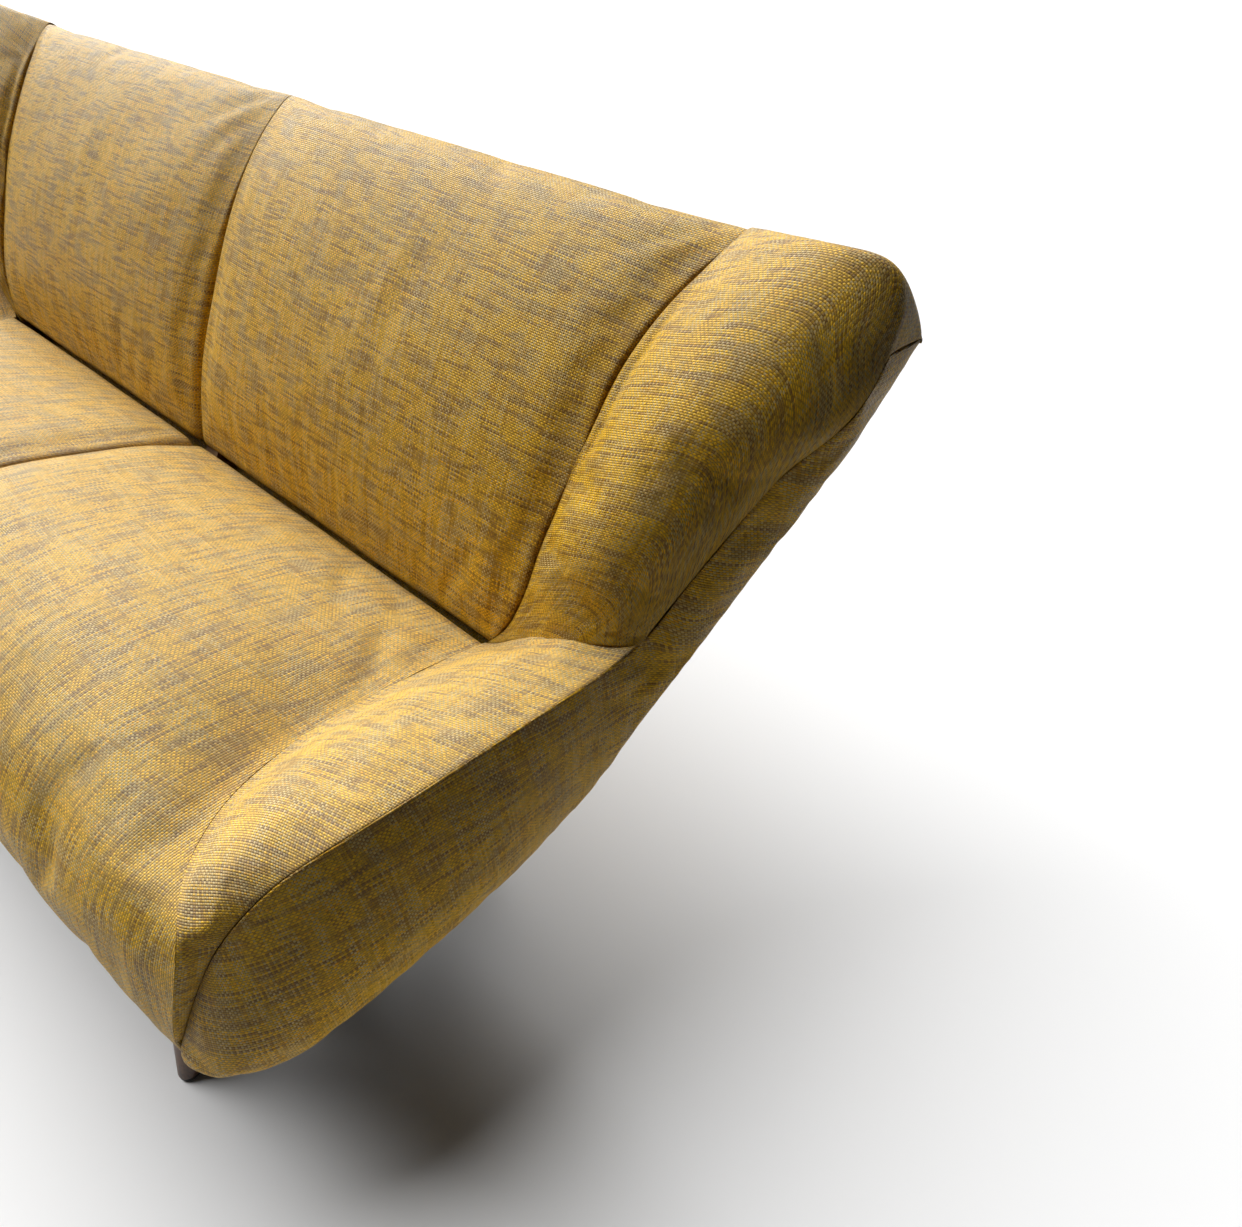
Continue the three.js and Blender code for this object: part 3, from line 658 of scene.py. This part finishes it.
def side_uv(points):
    """The side panel's cloth wraps round the base in level rows."""
    outline = np.array([(0.7365, -0.3775), *(np.array(BASE_EDGE) * MM), (0.806, 0.60)])
    a, d = outline[:-1], np.diff(outline, axis=0)
    length = norm(d, axis=1)
    start = np.concatenate([[0], np.cumsum(length)[:-1]])
    flat = points[..., None, :2] - a
    t = np.clip((flat * d).sum(-1) / length**2, 0, 1)
    away = norm(flat - t[..., None] * d, axis=-1)
    nearest = away.argmin(-1)
    u = np.take_along_axis(start + t * length, nearest[..., None], -1)[..., 0]
    out = np.take_along_axis(away, nearest[..., None], -1)[..., 0]
    return np.stack([u, points[..., 2] + 0.3 * out], -1)


def build_covers():
    """The five covers of the right half, each with its left, right, low and high edge."""
    return [
        Cover("seat_cushion", seat_surface(),
              free(split_radius, 0.018), joined(seat_arm_radius), free(0.008, 0.008), free(0.008, 0.012),
              turned=True),
        Cover("back_cushion", back_surface(),
              Edge(cleft_radius, 0.014, marked=False), free(slit_radius), free(0.014, 0.012), sewn(0.003)),
        Cover("wing_cushion", wing_surface(),
              free(slit_radius), Edge(0.0008, 0.003, 0.3, marked=False), free(0.002, 0.008), sewn(0.002),
              spacing=0.0075, uv="high"),
        Cover("arm_cushion", arm_surface(),
              joined(), sewn(nose_radius), sewn(arm_rear_radius, 0.008), sewn(0.0015),
              spacing=0.010, thickness=0.02, flip=True, uv="left"),
        Cover("side_panel", side_surface(),
              free(0.006, 0.006), sewn(0.002, 0.004), free(0.003, 0.003), sewn(nose_radius, 0.005),
              thickness=0.014, uv=side_uv),
    ]


# ---- Materials ----


class Nodes:
    """Builds a material's node tree with short calls."""

    def __init__(self, name):
        self.material = bpy.data.materials.new(name)
        self.material.use_nodes = True
        self.tree = self.material.node_tree
        self.tree.nodes.clear()
        self.shader = self.node("ShaderNodeBsdfPrincipled")
        output = self.node("ShaderNodeOutputMaterial")
        self.tree.links.new(self.shader.outputs[0], output.inputs[0])

    def node(self, kind, **settings):
        made = self.tree.nodes.new(kind)
        for key, value in settings.items():
            setattr(made, key, value)
        return made

    def feed(self, node, values):
        """Sets a node's inputs, by name or in order, from numbers, colours and other nodes' outputs."""
        for key, value in values.items() if isinstance(values, dict) else enumerate(values):
            if isinstance(value, bpy.types.NodeSocket):
                self.tree.links.new(value, node.inputs[key])
            else:
                node.inputs[key].default_value = (*value, 1) if isinstance(value, tuple) else value
        return node.outputs[0]

    def math(self, operation, *values):
        return self.feed(self.node("ShaderNodeMath", operation=operation), values)

    def multiply(self, a, b):
        return self.math("MULTIPLY", a, b)

    def linear(self, value, slope, start):
        return self.math("MULTIPLY_ADD", value, slope, start)

    def mix(self, factor, a, b, kind="MIX"):
        made = self.node("ShaderNodeMix", data_type="RGBA", blend_type=kind)
        self.feed(made, {0: factor, 6: a, 7: b})
        return made.outputs[2]

    def times(self, colour, tint):
        return self.mix(1.0, colour, tint, "MULTIPLY")

    def vector(self, *parts):
        return self.feed(self.node("ShaderNodeCombineXYZ"), parts)

    def scaled(self, parts, scales, *rest):
        """A vector of coordinates, each with its own scale, and then of plain numbers."""
        return self.vector(*map(self.multiply, parts, scales), *rest)

    def noise(self, vector, scale=1.0, detail=2.0, roughness=0.5):
        inputs = {"Vector": vector, "Scale": scale, "Detail": detail, "Roughness": roughness}
        return self.feed(self.node("ShaderNodeTexNoise"), inputs)

    def white(self, vector):
        return self.feed(self.node("ShaderNodeTexWhiteNoise"), {"Vector": vector})

    def ramp(self, value, low, high, to_low=0.0, to_high=1.0):
        made = self.node("ShaderNodeMapRange", interpolation_type="SMOOTHSTEP")
        return self.feed(made, (value, low, high, to_low, to_high))

    def finish(self, colour, roughness, height=None, distance=0.001, strength=1.0):
        self.feed(self.shader, {"Base Color": colour, "Roughness": roughness})
        if height is not None:
            inputs = {"Distance": distance, "Strength": strength, "Height": height}
            self.feed(self.shader, {"Normal": self.feed(self.node("ShaderNodeBump"), inputs)})
        return self.material


def srgb(r, g, b):
    return tuple(((c / 255 + 0.055) / 1.055) ** 2.4 if c > 10 else c / 3294.6 for c in (r, g, b))


def grey(level):
    return (level, level, level)


THREAD = 0.0025  # from one yarn of the weave to the next
YARN_DRIFT = 0.006  # how far the yarns wander from straight lines
YARN_CHANGE, YARN_APART = 20.0, 0.62  # tone changes along a yarn, per metre, and from yarn to yarn
OWN_TONE = 0.62  # how much of a yarn's tone is its own, the rest being its neighbourhood's
RELIEF = 0.0008

MUSTARD = srgb(250, 198, 30)
AMBER = srgb(230, 160, 14)
TAN = srgb(186, 146, 58)
PALE = srgb(214, 186, 114)
OLIVE = srgb(208, 162, 38)
DARK_YARN = (0.66, 0.58, 0.42)
PAINTED_GAP_SHADE = (0.26, 0.17, 0.08)  # painted shade deep between the yarns, as a share of the yarns' colour
# painted shade along the marked seams, where the cloth turns in, and the width that it covers
PAINTED_SEAM_SHADE, SEAM_WIDTH = (0.80, 0.77, 0.72), 0.006
PAINTED_SHEEN = (0.09, 0.10, 0.10)  # painted sheen: the paleness added to upward-facing tops, in place of the light's highlight on them


def tweed():
    """A chunky plain weave: mustard weft in long slubs over a greyer warp."""
    n = Nodes("mustard_tweed")
    uv, split = n.node("ShaderNodeUVMap", uv_map="weave"), n.node("ShaderNodeSeparateXYZ")
    n.feed(split, [uv.outputs[0]])
    u, v = split.outputs[0], split.outputs[1]
    drift = n.noise(n.scaled((u, v), (9.0, 9.0)), detail=1.0)
    drift = n.multiply(n.math("SUBTRACT", drift, 0.5), YARN_DRIFT)
    u, v = n.math("ADD", u, drift), n.math("SUBTRACT", v, drift)
    a, b = n.math("DIVIDE", u, THREAD), n.math("DIVIDE", v, THREAD)
    ia, ib = n.math("FLOOR", a), n.math("FLOOR", b)
    fa, fb = n.math("FRACT", a), n.math("FRACT", b)
    over = n.math("FLOORED_MODULO", n.math("ADD", ia, ib), 2.0)
    arch_a = n.math("SINE", n.multiply(fa, math.pi))
    arch_b = n.math("SINE", n.multiply(fb, math.pi))

    def tone(along, index, band_u, band_v, seed):
        """Slow changes along single yarns, and along bands of several."""
        line = n.noise(n.scaled((along, index), (YARN_CHANGE, YARN_APART), seed), detail=2.0)
        band = n.noise(n.scaled((u, v), (band_u, band_v), seed + 2), detail=1.5)
        return line, n.linear(line, OWN_TONE, n.multiply(band, 1 - OWN_TONE))

    weft_line, weft_tone = tone(u, ib, 9.0, 100.0, 4.1)
    warp_line, warp_tone = tone(v, ia, 90.0, 12.0, 8.3)
    float_up = n.multiply(n.math("SUBTRACT", 1.0, over), n.ramp(arch_a, 0.22, 0.50))
    rise = n.linear(n.multiply(over, arch_a), 0.50, 0.50)
    weft_height = n.multiply(n.math("POWER", arch_b, 0.6), rise)
    warp_height = n.multiply(n.math("POWER", arch_b, 0.35), 0.85)
    under = n.math("SUBTRACT", 1.0, float_up)
    height = n.math("ADD", n.multiply(under, weft_height), n.multiply(float_up, warp_height))

    patch = n.noise(n.scaled((u, v), (24.0, 30.0), 6.0), detail=2.0)
    weft = n.mix(n.ramp(n.linear(patch, 0.45, weft_tone), 0.63, 0.77), TAN, MUSTARD)
    weft = n.mix(n.ramp(weft_line, 0.58, 0.72, 0.0, 0.6), weft, AMBER)
    warp = n.mix(n.ramp(n.linear(patch, -0.35, warp_tone), 0.26, 0.40), OLIVE, PALE)
    weft = n.mix(n.ramp(weft_line, 0.35, 0.47, 1.0, 0.0), weft, n.times(weft, DARK_YARN))
    warp = n.mix(n.ramp(warp_line, 0.35, 0.47, 0.8, 0.0), warp, n.times(warp, DARK_YARN))
    colour = n.mix(float_up, weft, warp)
    slub = n.linear(weft_line, 0.6, n.multiply(warp_line, 0.4))
    speck = n.white(n.vector(ia, ib, 3.0))
    colour = n.times(colour, n.mix(speck, grey(0.80), grey(1.16)))
    # painted shade: the colour darkens where the yarns dip into the gaps between them
    colour = n.mix(n.ramp(height, 0.05, 0.62), n.times(colour, PAINTED_GAP_SHADE), colour)
    cloud = n.noise(n.scaled((u, v), (4.0, 4.0), 9.0), detail=2.0)
    colour = n.times(colour, n.mix(cloud, grey(0.88), grey(1.10)))
    # painted sheen: a paler tint screened over the upward-facing tops, standing in for the light's highlight
    fade = n.node("ShaderNodeAttribute", attribute_name="fade").outputs["Fac"]
    colour = n.mix(fade, colour, n.mix(1.0, colour, PAINTED_SHEEN, "SCREEN"))
    seam = n.node("ShaderNodeAttribute", attribute_name="seam").outputs["Fac"]
    # painted shade: the cloth darkens towards each marked seam
    colour = n.times(colour, n.mix(n.ramp(seam, 0.0, SEAM_WIDTH), PAINTED_SEAM_SHADE, grey(1.0)))

    fibre = n.noise(n.scaled((u, v), (1700.0, 1700.0)), detail=2.0)
    yarns = n.multiply(height, n.linear(slub, 1.6, 0.2))
    relief = n.linear(fibre, 0.22, yarns)
    n.feed(n.shader, {"Specular IOR Level": 0.3})
    return n.finish(colour, n.linear(height, -0.08, 0.54), relief, RELIEF)


def object_axes(n):
    """The x, y and z of a point on the object, in metres."""
    at, split = n.node("ShaderNodeTexCoord"), n.node("ShaderNodeSeparateXYZ")
    n.feed(split, [at.outputs["Object"]])
    return split.outputs


def walnut():
    n = Nodes("dark_walnut")
    axes = object_axes(n)
    rings = n.noise(n.scaled(axes, (60.0, 60.0, 5.0)), scale=1.6, detail=3.0, roughness=0.6)
    pores = n.noise(n.scaled(axes, (900.0, 900.0, 40.0)), detail=2.0)
    colour = n.mix(n.ramp(rings, 0.35, 0.65), srgb(74, 46, 27), srgb(116, 76, 45))
    colour = n.mix(n.ramp(pores, 0.30, 0.46, 0.6, 0.0), colour, srgb(38, 23, 13))
    rough = n.linear(rings, 0.16, 0.30)
    n.feed(n.shader, {"Coat Weight": 0.08, "Coat Roughness": 0.25})
    return n.finish(colour, rough, pores, 0.0003, 0.35)


def beech():
    n = Nodes("raw_beech")
    axes = object_axes(n)
    grain = n.noise(n.scaled(axes, (4.0, 55.0, 55.0)), scale=1.3, detail=3.0, roughness=0.6)
    flecks = n.noise(n.scaled(axes, (90.0, 700.0, 700.0)), detail=1.0)
    colour = n.mix(n.ramp(grain, 0.3, 0.7), srgb(205, 168, 122), srgb(180, 138, 92))
    colour = n.mix(n.ramp(flecks, 0.60, 0.70, 0.0, 0.5), colour, srgb(130, 92, 56))
    return n.finish(colour, n.linear(grain, 0.2, 0.55), flecks, 0.0003, 0.4)


def plain_weave(name, dark, light, pitch):
    """A simple woven cloth on object coordinates, for the lining and the webbing."""
    n = Nodes(name)
    x, y, z = object_axes(n)
    turn = 2 * math.pi / pitch
    across = n.math("SINE", n.multiply(x, turn))
    along = n.math("SINE", n.multiply(n.math("ADD", y, z), turn))
    weave = n.linear(n.multiply(across, along), 0.5, 0.5)
    mottle = n.noise(n.vector(x, y, z), scale=60.0, detail=3.0)
    colour = n.mix(n.linear(weave, 0.6, n.multiply(mottle, 0.4)), dark, light)
    return n.finish(colour, n.linear(mottle, 0.1, 0.85), weave, 0.0004, 0.5)


def mottled(name, dark, light, scale, detail=2.0, rough=0.9, change=0.0, relief=0.0, sockets=()):
    """A plain surface whose tone wanders a little. Its roughness and its relief follow the tone where
    change and relief aren't 0, and sockets holds the shader's further settings."""
    n = Nodes(name)
    tone = n.noise(n.vector(*object_axes(n)), scale=scale, detail=detail)
    n.feed(n.shader, dict(sockets))
    if change:
        rough = n.linear(tone, change, rough)
    height = tone if relief else None
    return n.finish(n.mix(tone, dark, light), rough, height, 0.0002, relief)


MATERIALS = {
    "upholstery": tweed(),
    "lining": plain_weave("black_lining", srgb(30, 28, 27), srgb(66, 62, 58), 0.0016),
    "webbing": plain_weave("jute_webbing", srgb(120, 92, 56), srgb(186, 154, 106), 0.003),
    "frame_wood": beech(),
    "legs": walnut(),
    "steel": mottled("zinc_steel", srgb(150, 152, 156), srgb(184, 186, 190), 140.0, 3.0, 0.22, 0.25, 0.2,
                     {"Metallic": 1.0}),
    "glides": mottled("black_nylon", srgb(22, 21, 20), srgb(48, 46, 44), 300.0, 3.0, 0.4, 0.3, 0.3),
}


def dress(obj, slot):
    """Gives an object the material of its slot."""
    obj.data.materials.clear()
    obj.data.materials.append(MATERIALS[slot])


# ---- Putting the covers on ----

CLOTH_FRAMES = 20
CLOTH_PRESSURE = 4
CLOTH_SLACK = 0.012  # how much longer the cloth is than the shape that it covers
MOST_MOVE = 0.28  # as a share of the cover's thickness


def add_cloth(obj, pins):
    """Gives a cover its Cloth modifier, held at its pinned points."""
    group = obj.vertex_groups.new(name="pin")
    for weight in np.unique(pins):
        if weight > 0:
            group.add(np.nonzero(pins == weight)[0].tolist(), float(weight), "REPLACE")
    cloth = obj.modifiers.new("cloth", "CLOTH")
    s = cloth.settings
    s.quality = 4
    s.mass = 0.35
    s.tension_stiffness = s.compression_stiffness = 12
    s.shear_stiffness = 6
    s.bending_stiffness = 1.5
    s.tension_damping = s.compression_damping = s.shear_damping = 12
    s.vertex_group_mass = "pin"
    s.pin_stiffness = 1
    s.use_pressure = True
    s.uniform_pressure_force = CLOTH_PRESSURE
    s.shrink_min = -CLOTH_SLACK
    s.effector_weights.gravity = 0
    cloth.point_cache.frame_start, cloth.point_cache.frame_end = 1, CLOTH_FRAMES


def settle(pieces):
    """Inflates the covers as cloth for a few frames, then keeps their shape, with the movement capped.
    pieces holds each cover's object, its pins and the most that one of its points may move."""
    for obj, pins, _ in pieces:
        add_cloth(obj, pins)
    scene = bpy.context.scene
    scene.frame_start, scene.frame_end = 1, CLOTH_FRAMES
    for number in range(1, CLOTH_FRAMES + 1):
        scene.frame_set(number)
    graph = bpy.context.evaluated_depsgraph_get()
    for obj, _, cap in pieces:
        settled = obj.evaluated_get(graph).data
        before, after = (np.zeros(len(obj.data.vertices) * 3) for _ in range(2))
        obj.data.vertices.foreach_get("co", before)
        settled.vertices.foreach_get("co", after)
        move = (after - before).reshape(-1, 3)
        size = norm(move, axis=1)
        move *= (cap * np.tanh(size / cap) / np.maximum(size, 1e-9))[:, None]
        obj.data.vertices.foreach_set("co", before + move.ravel())
    for obj, *_ in pieces:
        obj.modifiers.remove(obj.modifiers["cloth"])
        obj.data.update()
    scene.frame_set(1)


COVERED = {  # the CAD node that each cover stands for, and how much of its inside is padding
    "seat_cushion": ("seat_pad", 0.85),
    "back_cushion": ("back_pad", 0.85),
    "wing_cushion": ("wing_pad", 0.9),
    "arm_cushion": ("arm_pad", 0.9),
    "side_panel": ("outside_side", 0.9),
    "outside_back_cover": ("outside_back", 0.8),
}


def finish_cover(obj, name, ending=""):
    node, fill = COVERED[name]
    smooth = obj.modifiers.new("smooth", "SUBSURF")
    smooth.levels = smooth.render_levels = 1
    dress(obj, "upholstery")
    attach(obj, "root")
    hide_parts(node + ending)


covers = build_covers()
pieces = [(*cover.mesh(mirror), cover.name, mirror) for cover in covers for mirror in (False, True)]
outside = Cover("outside_back_cover", outside_back_surface(),
                sewn(0.002, 0.004), sewn(0.002, 0.004), free(0.003, 0.003), sewn(0.003, 0.005),
                spacing=0.016, thickness=0.014, flip=True)
outside_obj, outside_pins = outside.mesh(None)
caps = {cover.name: MOST_MOVE * cover.thickness for cover in covers}
settle([(obj, pins, caps[name]) for obj, pins, name, _ in pieces]
       + [(outside_obj, outside_pins, MOST_MOVE * outside.thickness)])
for obj, _, name, mirror in pieces:
    finish_cover(obj, name, "_left" if mirror else "_right")
finish_cover(outside_obj, outside.name)

# ---- Legs and glides ----

LEG_TOP_X, LEG_FOOT_X, LEG_SPLAY = 0.608, 0.618, 0.066
LEG_ROWS = {"front": (-0.318, -1), "rear": (-0.006, 1)}  # each row's top in y, and the way it splays
LEG_TOP_Z = 0.2080
LEG_TOP_R, LEG_FOOT_R = 0.019, 0.0135
LEG_SWELL = 0.0008
LEG_SIDES = 48
# Heights of a leg's rings, and how much the rounded foot takes off the radius there.
LEG_RINGS = (
    (0.0044, 0.0026), (0.0048, 0.0012), (0.0060, 0.0003), (0.0078, 0), (0.012, 0), (0.03, 0),
    (0.06, 0), (0.10, 0), (0.14, 0), (0.18, 0), (0.2, 0), (LEG_TOP_Z, 0),
)
GLIDE_RINGS = ((0.0, 0.0030), (0.0005, 0.0018), (0.0014, 0.0010), (0.0030, 0.0010), (0.0040, 0.0012))
GLIDE_AXIS_Z = 0.0022  # where the glide meets the leg's axis


def lathe(name, rings):
    """A closed round body through horizontal rings of (centre, radius across, radius along)."""
    turn = np.linspace(0, 2 * math.pi, LEG_SIDES, endpoint=False)
    co = [c + np.stack([rx * np.cos(turn), ry * np.sin(turn), 0 * turn], 1) for c, rx, ry in rings]
    faces = [list(range(LEG_SIDES))[::-1]]
    for i in range(len(rings) - 1):
        for k in range(LEG_SIDES):
            j = (k + 1) % LEG_SIDES
            here, above = i * LEG_SIDES, (i + 1) * LEG_SIDES
            faces.append([here + k, here + j, above + j, above + k])
    last = (len(rings) - 1) * LEG_SIDES
    faces.append([last + k for k in range(LEG_SIDES)])
    return make_mesh(name, np.concatenate(co), faces)


def make_leg(row, side):
    top_y, away = LEG_ROWS[row]
    sign = 1 if side == "right" else -1
    top = np.array([sign * LEG_TOP_X, top_y, LEG_TOP_Z])
    foot = np.array([sign * LEG_FOOT_X, top_y + away * LEG_SPLAY, 0.0])
    stretch = norm(top - foot) / LEG_TOP_Z
    rings = []
    for z, cut in LEG_RINGS:
        t = z / LEG_TOP_Z
        r = lerp(LEG_FOOT_R, LEG_TOP_R, t) + LEG_SWELL * math.sin(math.pi * t) - cut
        rings.append((lerp(foot, top, t), r, r * stretch))
    leg = lathe(f"turned_leg_{row}_{side}", rings)
    at = lerp(foot, top, GLIDE_AXIS_Z / LEG_TOP_Z)
    rings = []
    for z, cut in GLIDE_RINGS:
        r = LEG_FOOT_R - cut
        rings.append((np.array([at[0], at[1], z]), r, r * 1.03))
    glide = lathe(f"round_glide_{row}_{side}", rings)
    for obj, slot, node in ((leg, "legs", "leg"), (glide, "glides", "glide")):
        dress(obj, slot)
        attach(obj, "root")
        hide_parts(f"{node}_{row}_{side}")


for row in LEG_ROWS:
    for side in ("left", "right"):
        make_leg(row, side)

# ---- Dust cover under the seat ----

COVER_HALF = [
    (0.720, -0.350), (0.752, -0.350), (0.776, -0.340), (0.792, -0.318),
    (0.802, -0.280), (0.806, -0.180), (0.806, -0.060), (0.800, 0.044),
]
COVER_TOP_Z, COVER_THICK = 0.2078, 0.0009
COVER_STEP = 0.018  # between the points inside its outline
COVER_SAG, COVER_RIPPLE = 0.0035, 0.0005
LEG_HOLE_R = 0.024


def dust_cover():
    """A thin lining stretched under the frame: tight at its edges, with a slight sag, cut round the legs."""
    outline = COVER_HALF + [(-x, y) for x, y in COVER_HALF[::-1]]
    edge = []
    for i, a in enumerate(outline):
        b = outline[(i + 1) % len(outline)]
        steps = max(1, int(math.dist(a, b) / 0.02))
        edge += [lerp(np.array(a), np.array(b), k / steps) for k in range(steps)]
    around = np.linspace(0, 2 * math.pi, 24, endpoint=False)
    circle = LEG_HOLE_R * np.stack([np.cos(around), np.sin(around)], 1)
    holes = [list(circle + [sx * LEG_TOP_X, y]) for sx in (-1, 1) for y, _ in LEG_ROWS.values()]
    points, loops = list(edge), [list(range(len(edge)))]
    for hole in holes:
        loops.append([len(points) + k for k in range(len(hole))])
        points += hole
    edge_array = np.array(edge)
    hole_centres = [np.mean(h, axis=0) for h in holes]
    for x in np.arange(-0.79, 0.79, COVER_STEP):
        for y in np.arange(-0.34, 0.04, COVER_STEP):
            p = np.array([x, y])
            off_edge = norm(edge_array - p, axis=1).min() > 0.010
            if off_edge and all(norm(p - c) > LEG_HOLE_R + 0.010 for c in hole_centres):
                points.append(p)
    borders = [(l[k], l[(k + 1) % len(l)]) for l in loops for k in range(len(l))]
    co, _, faces, *_ = delaunay_2d_cdt([Vector(p) for p in points], borders, [], 1, 1e-7)
    flat = np.array([tuple(p) for p in co])
    middles = [flat[list(f)].mean(0) for f in faces]
    cloth = [list(f) for f, middle in zip(faces, middles)
             if all(norm(middle - c) > LEG_HOLE_R - 0.0005 for c in hole_centres)]
    inside = np.minimum(1, norm(flat[:, None] - edge_array[None], axis=2).min(1) / 0.12)
    sag = COVER_SAG * smoothstep(inside, 0, 1)
    sag += COVER_RIPPLE * ripple(flat[:, 0], flat[:, 1], 0.12, 61) * inside
    top = np.column_stack([flat, COVER_TOP_Z - sag])
    obj = make_mesh("dust_cover_cloth", top, cloth)
    thick = obj.modifiers.new("thick", "SOLIDIFY")
    thick.thickness, thick.offset = COVER_THICK, -1
    dress(obj, "lining")
    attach(obj, "root")
    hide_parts("dust_cover")


dust_cover()

# ---- The frame inside keeps its CAD shape ----

FRAME_SLOTS = {
    "leg_plate": "steel",
    "leg_bolt": "steel",
    "seat_spring": "steel",
    "seat_deck": "webbing",
    "back_strap": "webbing",
}
for name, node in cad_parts.items():
    if node.hide_render:
        continue
    slot = next((s for start, s in FRAME_SLOTS.items() if name.startswith(start)), "frame_wood")
    dress(node, slot)

# ---- Studio ----

BOUNCE_GREY, KICKER_STRENGTH = 0.44, 0.80
SUN_STRENGTH, SUN_SIZE = 6.0, 66  # the size in degrees
SUN_DIRECTION = (0.70, -0.14, -0.70)
WORLD_STRENGTH = 0.012
CAMERA_AT = (1.2737, -0.3589, 1.1092)
CAMERA_TILT, CAMERA_TURN = 47.61, 41.84  # in degrees, from straight down and from +y
CAMERA_LENS, CAMERA_SENSOR = 26.096, 36


def studio_sheet(name, low_x, low_y, high_x, high_y, z, material):
    """A flat rectangle of the studio at a height z."""
    corners = [(low_x, low_y, 0), (high_x, low_y, 0), (high_x, high_y, 0), (low_x, high_y, 0)]
    obj = make_mesh(name, corners, [[0, 1, 2, 3]])
    obj.location.z = z
    obj.data.materials.append(material)
    return obj


floor_paint = mottled("studio_floor", grey(0.83), grey(0.86), 1.2, rough=0.7)
floor = studio_sheet("floor", -30, -30, 30, 30, -0.0002, floor_paint)
floor.visible_diffuse = floor.visible_shadow = False

# The floor's share of the light on the underside comes from a darker sheet just below it.
warmer = tuple(BOUNCE_GREY * part for part in (1.04, 1.03, 1.02))
bounce_paint = mottled("bounce_grey", grey(BOUNCE_GREY), warmer, 0.8)
bounce = studio_sheet("bounce", -1.8, -1.7, 1.40, 1.0, -0.002, bounce_paint)
# A soft light at floor level fills the lower half of the side panel.
glow = {"Emission Color": (1.0, 0.96, 0.88), "Emission Strength": KICKER_STRENGTH}
kicker_paint = mottled("kicker_white", grey(0.5), grey(0.52), 2.0, sockets=glow)
kicker = studio_sheet("kicker", 0.86, -0.55, 1.30, 0.05, -0.001, kicker_paint)
for sheet in (bounce, kicker):
    sheet.visible_camera = sheet.visible_glossy = False

sun_data = bpy.data.lights.new("key", "SUN")
sun_data.energy = SUN_STRENGTH
sun_data.angle = math.radians(SUN_SIZE)
sun = bpy.data.objects.new("key", sun_data)
sun.rotation_euler = Vector(SUN_DIRECTION).to_track_quat("-Z", "Y").to_euler()
bpy.context.scene.collection.objects.link(sun)

world = bpy.data.worlds.new("studio")
world.use_nodes = True
background = world.node_tree.nodes["Background"]
background.inputs[0].default_value = (1.0, 1.0, 1.0, 1.0)
background.inputs[1].default_value = WORLD_STRENGTH
scene = bpy.context.scene
scene.world = world
scene.view_settings.view_transform = "Standard"

camera_data = bpy.data.cameras.new("camera")
camera_data.lens, camera_data.sensor_width = CAMERA_LENS, CAMERA_SENSOR
camera = bpy.data.objects.new("camera", camera_data)
camera.location = CAMERA_AT
camera.rotation_euler = (math.radians(CAMERA_TILT), 0, math.radians(CAMERA_TURN))
scene.collection.objects.link(camera)
scene.camera = camera
